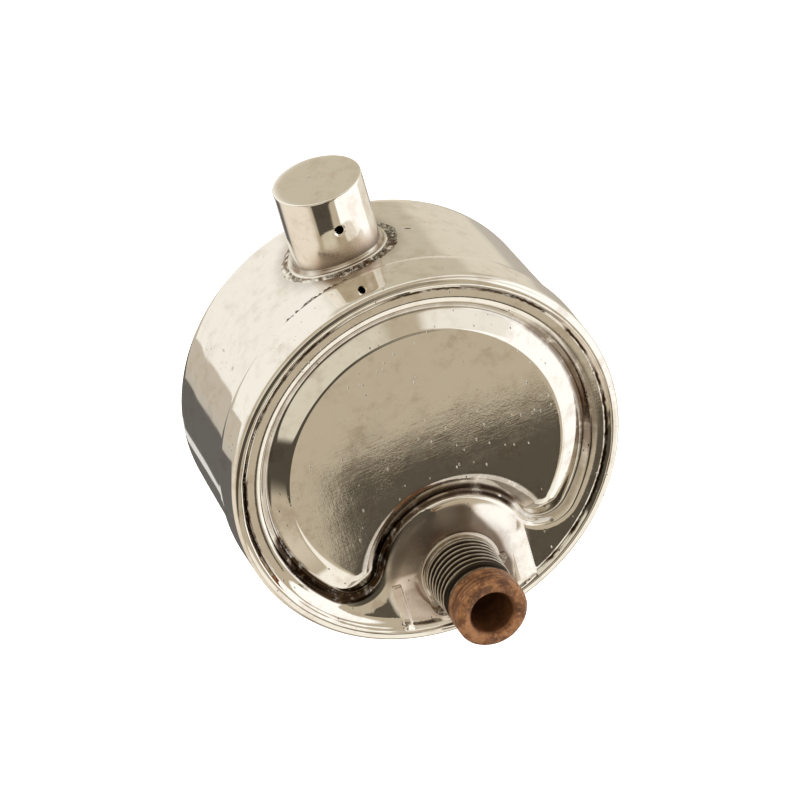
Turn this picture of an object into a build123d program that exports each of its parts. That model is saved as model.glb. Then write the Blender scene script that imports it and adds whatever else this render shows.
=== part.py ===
"""Angle air vent for a one-pipe steam radiator.

A drum of two drawn brass stampings lies on its side.  A tapered 1/8-27 pipe nipple leaves the
front cover near its bottom, and a plated cap with a small side hole stands on top of the drum.
Inside, a sealed float carries a needle that shuts the port under the cap when water or steam
lifts it.

Frame: +Z up, the nipple points along -Y, the drum's axis is parallel to Y.
Origin: on the nipple's axis, in the plane of the shoulder that the thread runs up to.
"""
import os
from math import hypot, sqrt

from build123d import *

os.makedirs("parts", exist_ok=True)

# ---------------------------------------------------------------- driving dimensions
DRUM_RADIUS = 26.5  # outside of the front cover's skirt
DRUM_DEPTH = 27.2  # rim of the front cover to the back of the drum
DRUM_AXIS_Z = 17.2  # the drum's axis stands this far above the nipple's
RIM_Y = 0.9  # plane of the front cover's rolled rim
SHEET = 0.5  # wall of the drawn shells
GAP = 0.05  # soldering gap between pieces that slip together
ROOT = 0.2  # how far one feature of a piece runs into the next, so that they join

SKIRT_DEPTH = 6.2  # how far the front cover laps over the rear shell
RIM_ROUND = 1.2  # rounding between the skirt and the rim
RIM_BEAD = 0.7  # width of the rim's slope down to the land inside it

# front face levels, measured into the drum from the rim's plane
LAND = 0.4
GROOVE_FLOOR = 1.4
PLATEAU = 0.2

NIPPLE_LENGTH = 11.9  # shoulder to tip
THREAD_PITCH = 25.4 / 27  # 1/8-27 pipe thread
THREAD_RADIUS = 5.08  # crest radius at the shoulder, falls 1 in 32 towards the tip
THREAD_DEPTH = 0.55
THREAD_FLAT = 0.12  # flats at the crests and roots
THREAD_TURNS = 7
PILOT_RADIUS = 4.9  # smooth end ahead of the thread
PILOT_LENGTH = 3.7
NIPPLE_BORE = 2.9
NIPPLE_MOUTH = 3.3
COLLAR_TOP = 0.35  # y of the flat top of the collar drawn up around the nipple
COLLAR_TOP_RADIUS = 6.0
COLLAR_FOOT_RADIUS = 7.4

CAP_X = -0.7  # the cap is soldered on slightly left of centre
CAP_Y = RIM_Y + 15.55
CAP_RADIUS = 5.9
CAP_TOP_Z = 53.4
CAP_WALL = 0.5
VENT_HOLE = 0.6
VENT_HOLE_Z = 48.5

FLOAT_RADIUS = 17.5
FLOAT_HALF = 8.0  # half the float's length along the drum's axis
FLOAT_Z = 15.6  # the float's axis with the float down on its cradle
FLOAT_SHEET = 0.35
FLOAT_LIFT = 1.5  # travel from the cradle to the closed port

NECK_RADIUS = 3.2
NECK_FLANGE_RADIUS = 5.0
NECK_FLANGE_Z = (40.7, 41.5)
NECK_TOP_Z = 45.0
NECK_CHAMFER = 0.4
SEAT_BUSH_RADIUS = 1.95
SEAT_Z = 39.9  # mouth of the conical seat
SEAT_MOUTH = 1.4
PORT_RADIUS = 0.8
SEAT_DEPTH = 0.7
NEEDLE_RADIUS = 1.2
NEEDLE_TIP = 0.25
SEATED_CLEARANCE = 0.08

BRACKET_SHEET = 0.6

# ---------------------------------------------------------------- derived dimensions
DRUM_AXIS = Axis((0, 0, DRUM_AXIS_Z), (0, 1, 0))
NIPPLE_AXIS = Axis((0, 0, 0), (0, 1, 0))
VENT_AXIS = Axis((CAP_X, CAP_Y, 0), (0, 0, 1))
VENT_PLANE = Plane((CAP_X, CAP_Y, 0), x_dir=(1, 0, 0), z_dir=(0, -1, 0))  # x across, y up
BACK_Y = RIM_Y + DRUM_DEPTH
SKIRT_EDGE_Y = RIM_Y + SKIRT_DEPTH
SKIRT_INNER = DRUM_RADIUS - 0.45
SHELL_RADIUS = SKIRT_INNER - GAP  # mouth of the rear shell
SHELL_BACK_RADIUS = 25.3  # draft leaves the back of the rear shell a little smaller
DRUM_TOP_Z = DRUM_AXIS_Z + SHELL_BACK_RADIUS
FLOAT_Y = CAP_Y  # middle of the float, under the needle
FLOAT_TOP_Z = FLOAT_Z + FLOAT_RADIUS
FLOAT_AXIS = Axis((0, 0, FLOAT_Z), (0, 1, 0))


def face_plane(depth):
    """Plane across the drum, at a depth behind the rim, seen from the front with X and Z."""
    return Plane.XZ.offset(-(RIM_Y + depth))


def kidney(depth, outer, inner, tip):
    """Kidney outline at a depth behind the rim: an arc about the drum's axis, an arc about the
    nipple's, and two round lobe tips tangent to both."""
    from_nipple = inner + tip
    from_drum = outer - tip
    tip_z = (DRUM_AXIS_Z**2 - from_drum**2 + from_nipple**2) / (2 * DRUM_AXIS_Z)
    tip_x = sqrt(from_nipple**2 - tip_z**2)
    out_x = tip_x / from_drum
    out_z = (tip_z - DRUM_AXIS_Z) / from_drum
    in_x = -tip_x / from_nipple
    in_z = -tip_z / from_nipple
    mid = hypot(out_x + in_x, out_z + in_z)
    mid_x = (out_x + in_x) / mid
    mid_z = (out_z + in_z) / mid
    right_outer = (tip_x + tip * out_x, tip_z + tip * out_z)
    right_mid = (tip_x + tip * mid_x, tip_z + tip * mid_z)
    right_inner = (tip_x + tip * in_x, tip_z + tip * in_z)
    left_outer = (-right_outer[0], right_outer[1])
    left_mid = (-right_mid[0], right_mid[1])
    left_inner = (-right_inner[0], right_inner[1])
    with BuildSketch(face_plane(depth)) as outline:
        with BuildLine():
            ThreePointArc(right_outer, (0, DRUM_AXIS_Z + outer), left_outer)
            ThreePointArc(left_outer, left_mid, left_inner)
            ThreePointArc(left_inner, (0, inner), right_inner)
            ThreePointArc(right_inner, right_mid, right_outer)
        make_face()
    return outline.sketch.face()


def pressed_face(shift, inset):
    """Solid behind the front cover's pressed surface, shifted back by the sheet's thickness for
    the inside of the sheet."""
    edge_z = DRUM_AXIS_Z + DRUM_RADIUS - inset
    rim = RIM_Y + shift
    with BuildPart() as form:
        with BuildSketch(Plane.YZ):
            with BuildLine():
                skirt = Line((SKIRT_EDGE_Y, edge_z), (rim + RIM_ROUND, edge_z))
                corner = RadiusArc(skirt @ 1, (rim, edge_z - RIM_ROUND), -RIM_ROUND)
                slope_end = (rim + LAND, edge_z - RIM_ROUND - RIM_BEAD)
                bead = Spline(corner @ 1, slope_end, tangents=((0, -1), (0, -1)))
                Polyline(bead @ 1, (rim + LAND, DRUM_AXIS_Z), (SKIRT_EDGE_Y, DRUM_AXIS_Z), skirt @ 0)
            make_face()
        revolve(axis=DRUM_AXIS)
        # the groove that outlines the kidney
        groove_top = kidney(LAND + shift, outer=22.7, inner=10.1, tip=4.6)
        groove_floor = kidney(GROOVE_FLOOR + shift, outer=21.8, inner=10.7, tip=3.8)
        loft([groove_top, groove_floor], ruled=True, mode=Mode.SUBTRACT)
        # the kidney's raised panel with its sloping flank
        flank_foot = kidney(GROOVE_FLOOR + shift, outer=21.4, inner=11.0, tip=3.5)
        flank_top = kidney(PLATEAU + shift, outer=18.9, inner=13.1, tip=1.2)
        loft([flank_foot, flank_top], ruled=True)
        # the collar drawn up around the nipple
        with BuildSketch(Plane.YZ):
            with BuildLine():
                Polyline(
                    (rim + LAND + ROOT, 0),
                    (rim + LAND + ROOT, COLLAR_FOOT_RADIUS),
                    (rim + LAND, COLLAR_FOOT_RADIUS),
                    (COLLAR_TOP + shift, COLLAR_TOP_RADIUS),
                    (COLLAR_TOP + shift, 0),
                    close=True,
                )
            make_face()
        revolve(axis=NIPPLE_AXIS)
    return form.part


# ---------------------------------------------------------------- drum: front cover
RIB_OUTER = 9.5
RIB_WIDTH = 1.7
RIB_TOP_Z = 0.6
RIB_HEIGHT = LAND - 0.02
STRIP_INNER = 24.1  # the rim is this much wider between the ribs' feet
STRIP_HEIGHT = LAND - 0.12
RIM_CREST_RADIUS = DRUM_RADIUS - RIM_ROUND
rib_foot_z = DRUM_AXIS_Z - sqrt(RIM_CREST_RADIUS**2 - RIB_OUTER**2)

outside_form = pressed_face(shift=0, inset=0)
inside_form = pressed_face(shift=SHEET, inset=DRUM_RADIUS - SKIRT_INNER)

with BuildPart() as front_cover:
    add(outside_form)
    add(inside_form, mode=Mode.SUBTRACT)
    # two upright ribs beside the nipple, and the widened rim between their feet
    with BuildSketch(face_plane(LAND)):
        with BuildLine():
            Polyline(
                (RIB_OUTER - RIB_WIDTH, RIB_TOP_Z),
                (RIB_OUTER, RIB_TOP_Z),
                (RIB_OUTER, rib_foot_z),
                (RIB_OUTER - RIB_WIDTH, rib_foot_z),
                close=True,
            )
        make_face()
        mirror(about=Plane.YZ)
    extrude(amount=RIB_HEIGHT)
    with BuildSketch(face_plane(LAND)):
        with Locations((0, DRUM_AXIS_Z)):
            Circle(RIM_CREST_RADIUS)
            Circle(STRIP_INNER, mode=Mode.SUBTRACT)
            with Locations((0, -DRUM_RADIUS)):
                Rectangle(2 * RIB_OUTER - RIB_WIDTH, DRUM_RADIUS / 2, mode=Mode.INTERSECT)
    extrude(amount=STRIP_HEIGHT)
    # clear hole for the nipple
    with BuildSketch(Plane.XZ):
        Circle(THREAD_RADIUS + GAP)
    extrude(amount=-SKIRT_DEPTH, mode=Mode.SUBTRACT)
front_cover.part.label = "front_cover"
export_step(front_cover.part, "parts/front_cover.step")


# ---------------------------------------------------------------- drum: rear shell
SHELL_MOUTH_Y = RIM_Y + 2.0
SHELL_DRAFT_Y = SKIRT_EDGE_Y + 1.2  # the draft starts behind the skirt
SHELL_ROUND = 2.0
DISH_EDGE = 17.5  # a shallow dish is pressed into the back
DISH_FLOOR = 16.5
DISH_DEPTH = 0.6


def drum_solid(inflate):
    """Solid drum with the rear shell's outer surface, grown by inflate."""
    with BuildPart() as drum:
        with BuildSketch(Plane.YZ):
            with BuildLine():
                Polyline(
                    (SHELL_MOUTH_Y, DRUM_AXIS_Z),
                    (SHELL_MOUTH_Y, DRUM_AXIS_Z + SHELL_RADIUS + inflate),
                    (SHELL_DRAFT_Y, DRUM_AXIS_Z + SHELL_RADIUS + inflate),
                    (BACK_Y, DRUM_AXIS_Z + SHELL_BACK_RADIUS + inflate),
                    (BACK_Y, DRUM_AXIS_Z),
                    close=True,
                )
            make_face()
        revolve(axis=DRUM_AXIS)
    return drum.part


drum_outside = drum_solid(inflate=0)
drum_inside = drum_solid(inflate=-SHEET - GAP)

with BuildPart() as rear_shell:
    with BuildSketch(Plane.YZ):
        with BuildLine():
            FilletPolyline(
                (SHELL_MOUTH_Y, DRUM_AXIS_Z + SHELL_RADIUS),
                (SHELL_DRAFT_Y, DRUM_AXIS_Z + SHELL_RADIUS),
                (BACK_Y, DRUM_AXIS_Z + SHELL_BACK_RADIUS),
                (BACK_Y, DRUM_AXIS_Z + DISH_EDGE),
                (BACK_Y - DISH_DEPTH, DRUM_AXIS_Z + DISH_FLOOR),
                (BACK_Y - DISH_DEPTH, DRUM_AXIS_Z),
                radius=[1.0, SHELL_ROUND, 0.8, 0.8],
            )
            offset(amount=SHEET, side=Side.RIGHT)
        make_face()
    revolve(axis=DRUM_AXIS)
    # hole for the vent neck
    with BuildSketch(Plane.XY.offset(DRUM_AXIS_Z)):
        with Locations((CAP_X, CAP_Y)):
            Circle(NECK_RADIUS + GAP)
    extrude(amount=2 * DRUM_RADIUS, mode=Mode.SUBTRACT)
rear_shell.part.label = "rear_shell"
export_step(rear_shell.part, "parts/rear_shell.step")

SEAM_SOLDER_TOP = DRUM_RADIUS - 0.1
SEAM_SOLDER_LENGTH = 0.8
with BuildPart() as seam_solder:
    with BuildSketch(Plane.YZ):
        with BuildLine():
            Polyline(
                (SKIRT_EDGE_Y, DRUM_AXIS_Z + SHELL_RADIUS),
                (SKIRT_EDGE_Y, DRUM_AXIS_Z + SEAM_SOLDER_TOP),
                (SKIRT_EDGE_Y + SEAM_SOLDER_LENGTH, DRUM_AXIS_Z + SHELL_RADIUS),
                close=True,
            )
        make_face()
    revolve(axis=DRUM_AXIS)
seam_solder.part.label = "seam_solder"
export_step(seam_solder.part, "parts/seam_solder.step")


# ---------------------------------------------------------------- inlet
NIPPLE_FLANGE_RADIUS = 6.2
NIPPLE_FLANGE_SHEET = 0.8
PLATE_Y = RIM_Y + LAND + SHEET  # inside face of the front cover around the nipple
PLATE_RADIUS = 8.8
PLATE_SHEET = 1.0
PLATE_FLAT_Z = -7.2  # the plate is cut off flat above the rim's curl
NIPPLE_BACK_Y = PLATE_Y + PLATE_SHEET + NIPPLE_FLANGE_SHEET
RELIEF_RADIUS = 4.45  # runout between the thread and the pilot
RELIEF_LENGTH = 0.9
TIP_CHAMFER = 0.5

pilot_start = -(NIPPLE_LENGTH - PILOT_LENGTH)
thread_start = -(THREAD_TURNS * THREAD_PITCH)


def crest_radius(y):
    """The thread's crest tapers 1 in 32 on radius towards the tip."""
    return THREAD_RADIUS + y / 32


with BuildPart() as inlet_nipple:
    with BuildSketch(Plane.YZ):
        with BuildLine():
            outline = [
                (NIPPLE_BACK_Y, NIPPLE_BORE),
                (NIPPLE_BACK_Y, NIPPLE_FLANGE_RADIUS),
                (NIPPLE_BACK_Y - NIPPLE_FLANGE_SHEET, NIPPLE_FLANGE_RADIUS),
                (NIPPLE_BACK_Y - NIPPLE_FLANGE_SHEET, THREAD_RADIUS),
                (0, THREAD_RADIUS),
            ]
            for turn in range(THREAD_TURNS):
                root_y = -(turn + 0.5) * THREAD_PITCH
                next_crest = -(turn + 1) * THREAD_PITCH
                outline += [
                    (root_y + THREAD_FLAT / 2, crest_radius(root_y) - THREAD_DEPTH),
                    (root_y - THREAD_FLAT / 2, crest_radius(root_y) - THREAD_DEPTH),
                    (next_crest + THREAD_FLAT / 2, crest_radius(next_crest)),
                    (next_crest - THREAD_FLAT / 2, crest_radius(next_crest)),
                ]
            outline += [
                (thread_start - RELIEF_LENGTH / 2, RELIEF_RADIUS),
                (pilot_start, RELIEF_RADIUS),
                (pilot_start, PILOT_RADIUS),
                (-NIPPLE_LENGTH + TIP_CHAMFER, PILOT_RADIUS),
                (-NIPPLE_LENGTH, PILOT_RADIUS - TIP_CHAMFER),
                (-NIPPLE_LENGTH, NIPPLE_MOUTH),
                (-NIPPLE_LENGTH + NIPPLE_MOUTH - NIPPLE_BORE, NIPPLE_BORE),
            ]
            Polyline(*outline, close=True)
        make_face()
    revolve(axis=NIPPLE_AXIS)
inlet_nipple.part.label = "inlet_nipple"
export_step(inlet_nipple.part, "parts/inlet_nipple.step")

BRAZE_FOOT_RADIUS = 5.95
BRAZE_FRONT_RADIUS = BRAZE_FOOT_RADIUS - COLLAR_TOP
with BuildPart() as nipple_braze_ring:
    with BuildSketch(Plane.YZ):
        with BuildLine():
            bore_line = Line((0, THREAD_RADIUS + GAP), (COLLAR_TOP, THREAD_RADIUS + GAP))
            foot_line = Line(bore_line @ 1, (COLLAR_TOP, BRAZE_FOOT_RADIUS))
            fillet_arc = RadiusArc(foot_line @ 1, (0, BRAZE_FRONT_RADIUS), COLLAR_TOP)
            Line(fillet_arc @ 1, bore_line @ 0)
        make_face()
    revolve(axis=NIPPLE_AXIS)
nipple_braze_ring.part.label = "nipple_braze_ring"
export_step(nipple_braze_ring.part, "parts/nipple_braze_ring.step")

with BuildPart() as nipple_backing_plate:
    with BuildSketch(Plane.XZ.offset(-PLATE_Y)):
        Circle(PLATE_RADIUS)
        with Locations((0, PLATE_FLAT_Z)):
            Rectangle(
                2 * PLATE_RADIUS,
                PLATE_RADIUS,
                align=(Align.CENTER, Align.MAX),
                mode=Mode.SUBTRACT,
            )
        Circle(THREAD_RADIUS + GAP, mode=Mode.SUBTRACT)
    extrude(amount=-PLATE_SHEET)
nipple_backing_plate.part.label = "nipple_backing_plate"
export_step(nipple_backing_plate.part, "parts/nipple_backing_plate.step")

TONGUE_SHEET = 0.4
TONGUE_WIDTH = 3.4
TONGUE_START_Y = -3.0  # well inside the bore
TONGUE_Z = -2.25
TONGUE_DROP = (5.6, -7.0)  # lower end, y and z
with BuildPart() as siphon_tongue:
    with BuildSketch(Plane.YZ):
        with BuildLine():
            FilletPolyline(
                (TONGUE_START_Y, TONGUE_Z),
                (NIPPLE_BACK_Y + 1.2, TONGUE_Z),
                TONGUE_DROP,
                radius=0.6,
            )
            offset(amount=TONGUE_SHEET, side=Side.LEFT)
        make_face()
    extrude(amount=TONGUE_WIDTH / 2, both=True)
siphon_tongue.part.label = "siphon_tongue"
export_step(siphon_tongue.part, "parts/siphon_tongue.step")

BAFFLE_HEIGHT = 7.0
BAFFLE_STANDOFF = 4.0
plate_back = PLATE_Y + PLATE_SHEET
baffle_face = plate_back + BAFFLE_STANDOFF
with BuildPart() as inlet_baffle:
    with BuildSketch(Plane.XY.offset(-BAFFLE_HEIGHT / 2)):
        with BuildLine():
            FilletPolyline(
                (-8.0, plate_back),
                (-6.9, plate_back),
                (-5.6, baffle_face),
                (5.6, baffle_face),
                (6.9, plate_back),
                (8.0, plate_back),
                radius=0.5,
            )
            offset(amount=TONGUE_SHEET, side=Side.LEFT)
        make_face()
    extrude(amount=BAFFLE_HEIGHT)
inlet_baffle.part.label = "inlet_baffle"
export_step(inlet_baffle.part, "parts/inlet_baffle.step")


# ---------------------------------------------------------------- vent on top of the drum
with BuildPart() as vent_neck:
    with BuildSketch(VENT_PLANE):
        with BuildLine():
            Polyline(
                (SEAT_BUSH_RADIUS + GAP, NECK_FLANGE_Z[0]),
                (NECK_FLANGE_RADIUS, NECK_FLANGE_Z[0]),
                (NECK_FLANGE_RADIUS, NECK_FLANGE_Z[1]),
                (NECK_RADIUS, NECK_FLANGE_Z[1]),
                (NECK_RADIUS, NECK_TOP_Z - NECK_CHAMFER),
                (NECK_RADIUS - NECK_CHAMFER, NECK_TOP_Z),
                (SEAT_BUSH_RADIUS + GAP, NECK_TOP_Z),
                close=True,
            )
        make_face()
    revolve(axis=VENT_AXIS)
vent_neck.part.label = "vent_neck"
export_step(vent_neck.part, "parts/vent_neck.step")

SEAT_FLANGE_RADIUS = 3.0
SEAT_BUSH_TOP_Z = 43.6
with BuildPart() as valve_seat:
    with BuildSketch(VENT_PLANE):
        with BuildLine():
            Polyline(
                (SEAT_MOUTH, SEAT_Z),
                (SEAT_FLANGE_RADIUS, SEAT_Z),
                (SEAT_FLANGE_RADIUS, NECK_FLANGE_Z[0]),
                (SEAT_BUSH_RADIUS, NECK_FLANGE_Z[0]),
                (SEAT_BUSH_RADIUS, SEAT_BUSH_TOP_Z),
                (PORT_RADIUS, SEAT_BUSH_TOP_Z),
                (PORT_RADIUS, SEAT_Z + SEAT_DEPTH),
                close=True,
            )
        make_face()
    revolve(axis=VENT_AXIS)
valve_seat.part.label = "valve_seat"
export_step(valve_seat.part, "parts/valve_seat.step")

CAP_CHAMFER = 0.3
COUNTERSINK = 0.22  # wider than the hole, on radius
cap_foot = DRUM_TOP_Z - 2  # below the drum's top, the drum trims it
with BuildPart() as vent_cap:
    with BuildSketch(Plane.XY.offset(cap_foot)):
        with Locations((CAP_X, CAP_Y)):
            Circle(CAP_RADIUS)
    extrude(amount=CAP_TOP_Z - cap_foot)
    chamfer(vent_cap.edges().group_by(Axis.Z)[-1], CAP_CHAMFER)
    with BuildSketch(Plane.XY.offset(cap_foot)):
        with Locations((CAP_X, CAP_Y)):
            Circle(CAP_RADIUS - CAP_WALL)
    extrude(amount=CAP_TOP_Z - CAP_WALL - cap_foot, mode=Mode.SUBTRACT)
    # the side hole, countersunk, faces the front
    with Locations(Plane(origin=(CAP_X, CAP_Y - CAP_RADIUS, VENT_HOLE_Z), z_dir=(0, -1, 0))):
        CounterSinkHole(VENT_HOLE, VENT_HOLE + COUNTERSINK, depth=CAP_RADIUS)
    add(drum_outside, mode=Mode.SUBTRACT)
vent_cap.part.label = "vent_cap"
export_step(vent_cap.part, "parts/vent_cap.step")

SOLDER_RING_OUTER = 7.2
SOLDER_RING_HEIGHT = 0.5
with BuildPart() as cap_solder_ring:
    with BuildSketch(Plane.XY.offset(cap_foot)):
        with Locations((CAP_X, CAP_Y)):
            Circle(SOLDER_RING_OUTER)
            Circle(CAP_RADIUS + GAP / 2, mode=Mode.SUBTRACT)
    extrude(amount=CAP_TOP_Z - cap_foot)
    add(drum_solid(inflate=SOLDER_RING_HEIGHT), mode=Mode.INTERSECT)
    add(drum_outside, mode=Mode.SUBTRACT)
cap_solder_ring.part.label = "cap_solder_ring"
export_step(cap_solder_ring.part, "parts/cap_solder_ring.step")

GUIDE_WEB_Z = 36.6
GUIDE_WIDTH = 4.0
GUIDE_REACH = 4.4
GUIDE_SHEET = 0.5
NEEDLE_CLEARANCE = 0.1
with BuildPart() as needle_guide:
    with BuildSketch(Plane.YZ.offset(CAP_X - GUIDE_WIDTH / 2)):
        with BuildLine():
            FilletPolyline(
                (CAP_Y - GUIDE_REACH, NECK_FLANGE_Z[0]),
                (CAP_Y - GUIDE_REACH, GUIDE_WEB_Z),
                (CAP_Y + GUIDE_REACH, GUIDE_WEB_Z),
                (CAP_Y + GUIDE_REACH, NECK_FLANGE_Z[0]),
                radius=0.8,
            )
            offset(amount=GUIDE_SHEET, side=Side.LEFT)
        make_face()
    extrude(amount=GUIDE_WIDTH)
    with BuildSketch(Plane.XY.offset(GUIDE_WEB_Z)):
        with Locations((CAP_X, CAP_Y)):
            Circle(NEEDLE_RADIUS + NEEDLE_CLEARANCE)
    extrude(amount=GUIDE_SHEET, both=True, mode=Mode.SUBTRACT)
needle_guide.part.label = "needle_guide"
export_step(needle_guide.part, "parts/needle_guide.step")


# ---------------------------------------------------------------- float supports
CRADLE_LENGTH = 10.0
CRADLE_FOOT = (12.5, -9.0)  # x and z, beyond the drum's wall, which trims it
CRADLE_CREST = (8.0, -1.25)
CRADLE_DIP_Z = -4.6
with BuildPart() as float_cradle:
    with BuildSketch(Plane.XZ.offset(-(FLOAT_Y + CRADLE_LENGTH / 2))):
        with BuildLine():
            FilletPolyline(
                (-CRADLE_FOOT[0], CRADLE_FOOT[1]),
                (-CRADLE_CREST[0], CRADLE_CREST[1]),
                (0, CRADLE_DIP_Z),
                CRADLE_CREST,
                CRADLE_FOOT,
                radius=[0.8, 2.0, 0.8],
            )
            offset(amount=BRACKET_SHEET, side=Side.LEFT)
        make_face()
    extrude(amount=CRADLE_LENGTH)
    add(drum_inside, mode=Mode.INTERSECT)
float_cradle.part.label = "float_cradle"
export_step(float_cradle.part, "parts/float_cradle.step")

GUIDE_CLEARANCE = 0.6
GUIDE_LENGTH = 6.0
GUIDE_NOSE_HALF = 3.5
GUIDE_FOOT = (27.0, 7.0)  # x, and z from the middle, beyond the drum's wall, which trims it
guide_nose_x = FLOAT_RADIUS + GUIDE_CLEARANCE
guide_mid_z = FLOAT_Z + FLOAT_LIFT / 2


def float_guide(side):
    """Bent strip on the drum's wall that keeps the float from rolling, on one side (-1 or 1)."""
    with BuildPart() as strip:
        with BuildSketch(Plane.XZ.offset(-(FLOAT_Y + GUIDE_LENGTH / 2))):
            with BuildLine():
                FilletPolyline(
                    (side * GUIDE_FOOT[0], guide_mid_z + GUIDE_FOOT[1]),
                    (side * guide_nose_x, guide_mid_z + GUIDE_NOSE_HALF),
                    (side * guide_nose_x, guide_mid_z - GUIDE_NOSE_HALF),
                    (side * GUIDE_FOOT[0], guide_mid_z - GUIDE_FOOT[1]),
                    radius=1.0,
                )
                offset(amount=BRACKET_SHEET, side=Side.LEFT if side > 0 else Side.RIGHT)
            make_face()
        extrude(amount=GUIDE_LENGTH)
        add(drum_inside, mode=Mode.INTERSECT)
    return strip.part


for side, name in ((-1, "left_float_guide"), (1, "right_float_guide")):
    strip = float_guide(side)
    strip.label = name
    export_step(strip, f"parts/{name}.step")


# ---------------------------------------------------------------- float and needle
JOGGLE = FLOAT_SHEET + GAP  # the front half's mouth slips inside the rear half's
MOUTH_RADIUS = FLOAT_RADIUS - JOGGLE
LAP = 1.0
CORRUGATION = (13.2, 12.4, 9.8, 9.0)  # radii where each end face steps in and back out
CORRUGATION_DEPTH = 0.6
FLOAT_BEND = 0.4


def float_half(name, side, mouth):
    """Drawn half of the float, with a corrugated end that lets it swell.  side is -1 for the
    front half; mouth is the (offset from the middle, radius) outline of its mouth."""
    end = FLOAT_Y + side * FLOAT_HALF
    dip = end - side * CORRUGATION_DEPTH
    with BuildPart() as half:
        with BuildSketch(Plane.YZ):
            with BuildLine():
                FilletPolyline(
                    *[(FLOAT_Y + side * reach, FLOAT_Z + radius) for reach, radius in mouth],
                    (end, FLOAT_Z + FLOAT_RADIUS),
                    (end, FLOAT_Z + CORRUGATION[0]),
                    (dip, FLOAT_Z + CORRUGATION[1]),
                    (dip, FLOAT_Z + CORRUGATION[2]),
                    (end, FLOAT_Z + CORRUGATION[3]),
                    (end, FLOAT_Z),
                    radius=FLOAT_BEND,
                )
                offset(amount=FLOAT_SHEET, side=Side.RIGHT if side > 0 else Side.LEFT)
            make_face()
        revolve(axis=FLOAT_AXIS)
    half.part.label = name
    export_step(half.part, f"parts/{name}.step")


joggled_mouth = [(-0.8 * LAP, MOUTH_RADIUS), (LAP + 0.3, MOUTH_RADIUS), (LAP + 0.9, FLOAT_RADIUS)]
straight_mouth = [(-LAP, FLOAT_RADIUS)]
float_half("float_front_half", side=-1, mouth=joggled_mouth)
float_half("float_rear_half", side=1, mouth=straight_mouth)

solder_inner_z = FLOAT_Z + MOUTH_RADIUS + 0.02
solder_outer_z = FLOAT_Z + FLOAT_RADIUS - GAP
with BuildPart() as float_seam_solder:
    with BuildSketch(Plane.YZ):
        with BuildLine():
            Polyline(
                (FLOAT_Y - LAP, solder_outer_z),
                (FLOAT_Y - LAP, solder_inner_z),
                (FLOAT_Y - LAP - 0.25, solder_inner_z),
                (FLOAT_Y - LAP - 0.75, solder_outer_z),
                close=True,
            )
        make_face()
    revolve(axis=FLOAT_AXIS)
float_seam_solder.part.label = "float_seam_solder"
export_step(float_seam_solder.part, "parts/float_seam_solder.step")

STUB_RADIUS = 1.3
STUB_LENGTH = 1.6
STUB_RISE = 6.0  # above the float's axis
with BuildPart() as float_fill_stub:
    with BuildSketch(Plane.XZ.offset(-(FLOAT_Y + FLOAT_HALF))):
        with Locations((0, FLOAT_Z + STUB_RISE)):
            Circle(STUB_RADIUS)
    extrude(amount=-STUB_LENGTH)
    chamfer(float_fill_stub.edges().group_by(Axis.Y)[-1], 0.4)
float_fill_stub.part.label = "float_fill_stub"
export_step(float_fill_stub.part, "parts/float_fill_stub.step")

SADDLE_LENGTH = 7.0
SADDLE_WIDTH = 6.0
SADDLE_TOP_Z = FLOAT_TOP_Z + 1.0
with BuildPart() as float_saddle:
    with BuildSketch(Plane.XY.offset(FLOAT_TOP_Z - 1)):
        with Locations((CAP_X, CAP_Y)):
            RectangleRounded(SADDLE_LENGTH, SADDLE_WIDTH, 1)
    extrude(amount=SADDLE_TOP_Z - FLOAT_TOP_Z + 1)
    with BuildSketch(Plane.XZ.offset(-FLOAT_Y)):
        with Locations((0, FLOAT_Z)):
            Circle(FLOAT_RADIUS + GAP / 2)
    extrude(amount=SADDLE_WIDTH, both=True, mode=Mode.SUBTRACT)
float_saddle.part.label = "float_saddle"
export_step(float_saddle.part, "parts/float_saddle.step")

NEEDLE_FOOT_RADIUS = 2.0
NEEDLE_FOOT = 0.5
seat_slope = (SEAT_MOUTH - PORT_RADIUS) / SEAT_DEPTH
cone_start = SEAT_Z + (SEAT_MOUTH - SEATED_CLEARANCE - NEEDLE_RADIUS) / seat_slope - FLOAT_LIFT
cone_end = cone_start + (NEEDLE_RADIUS - NEEDLE_TIP) / seat_slope
with BuildPart() as valve_needle:
    with BuildSketch(VENT_PLANE):
        with BuildLine():
            Polyline(
                (0, SADDLE_TOP_Z),
                (NEEDLE_FOOT_RADIUS, SADDLE_TOP_Z),
                (NEEDLE_FOOT_RADIUS, SADDLE_TOP_Z + NEEDLE_FOOT),
                (NEEDLE_RADIUS, SADDLE_TOP_Z + NEEDLE_FOOT),
                (NEEDLE_RADIUS, cone_start),
                (NEEDLE_TIP, cone_end),
                (0, cone_end),
                close=True,
            )
        make_face()
    revolve(axis=VENT_AXIS)
valve_needle.part.label = "valve_needle"
export_step(valve_needle.part, "parts/valve_needle.step")
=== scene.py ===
"""Looks of the radiator air vent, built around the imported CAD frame.

Sizes inside the shape functions are in millimetres, in the frame's own axes; meshes are in metres.
"""

import itertools
import math

import bpy
import numpy as np
from mathutils import Matrix, Quaternion, Vector
from mathutils.geometry import delaunay_2d_cdt


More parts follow.
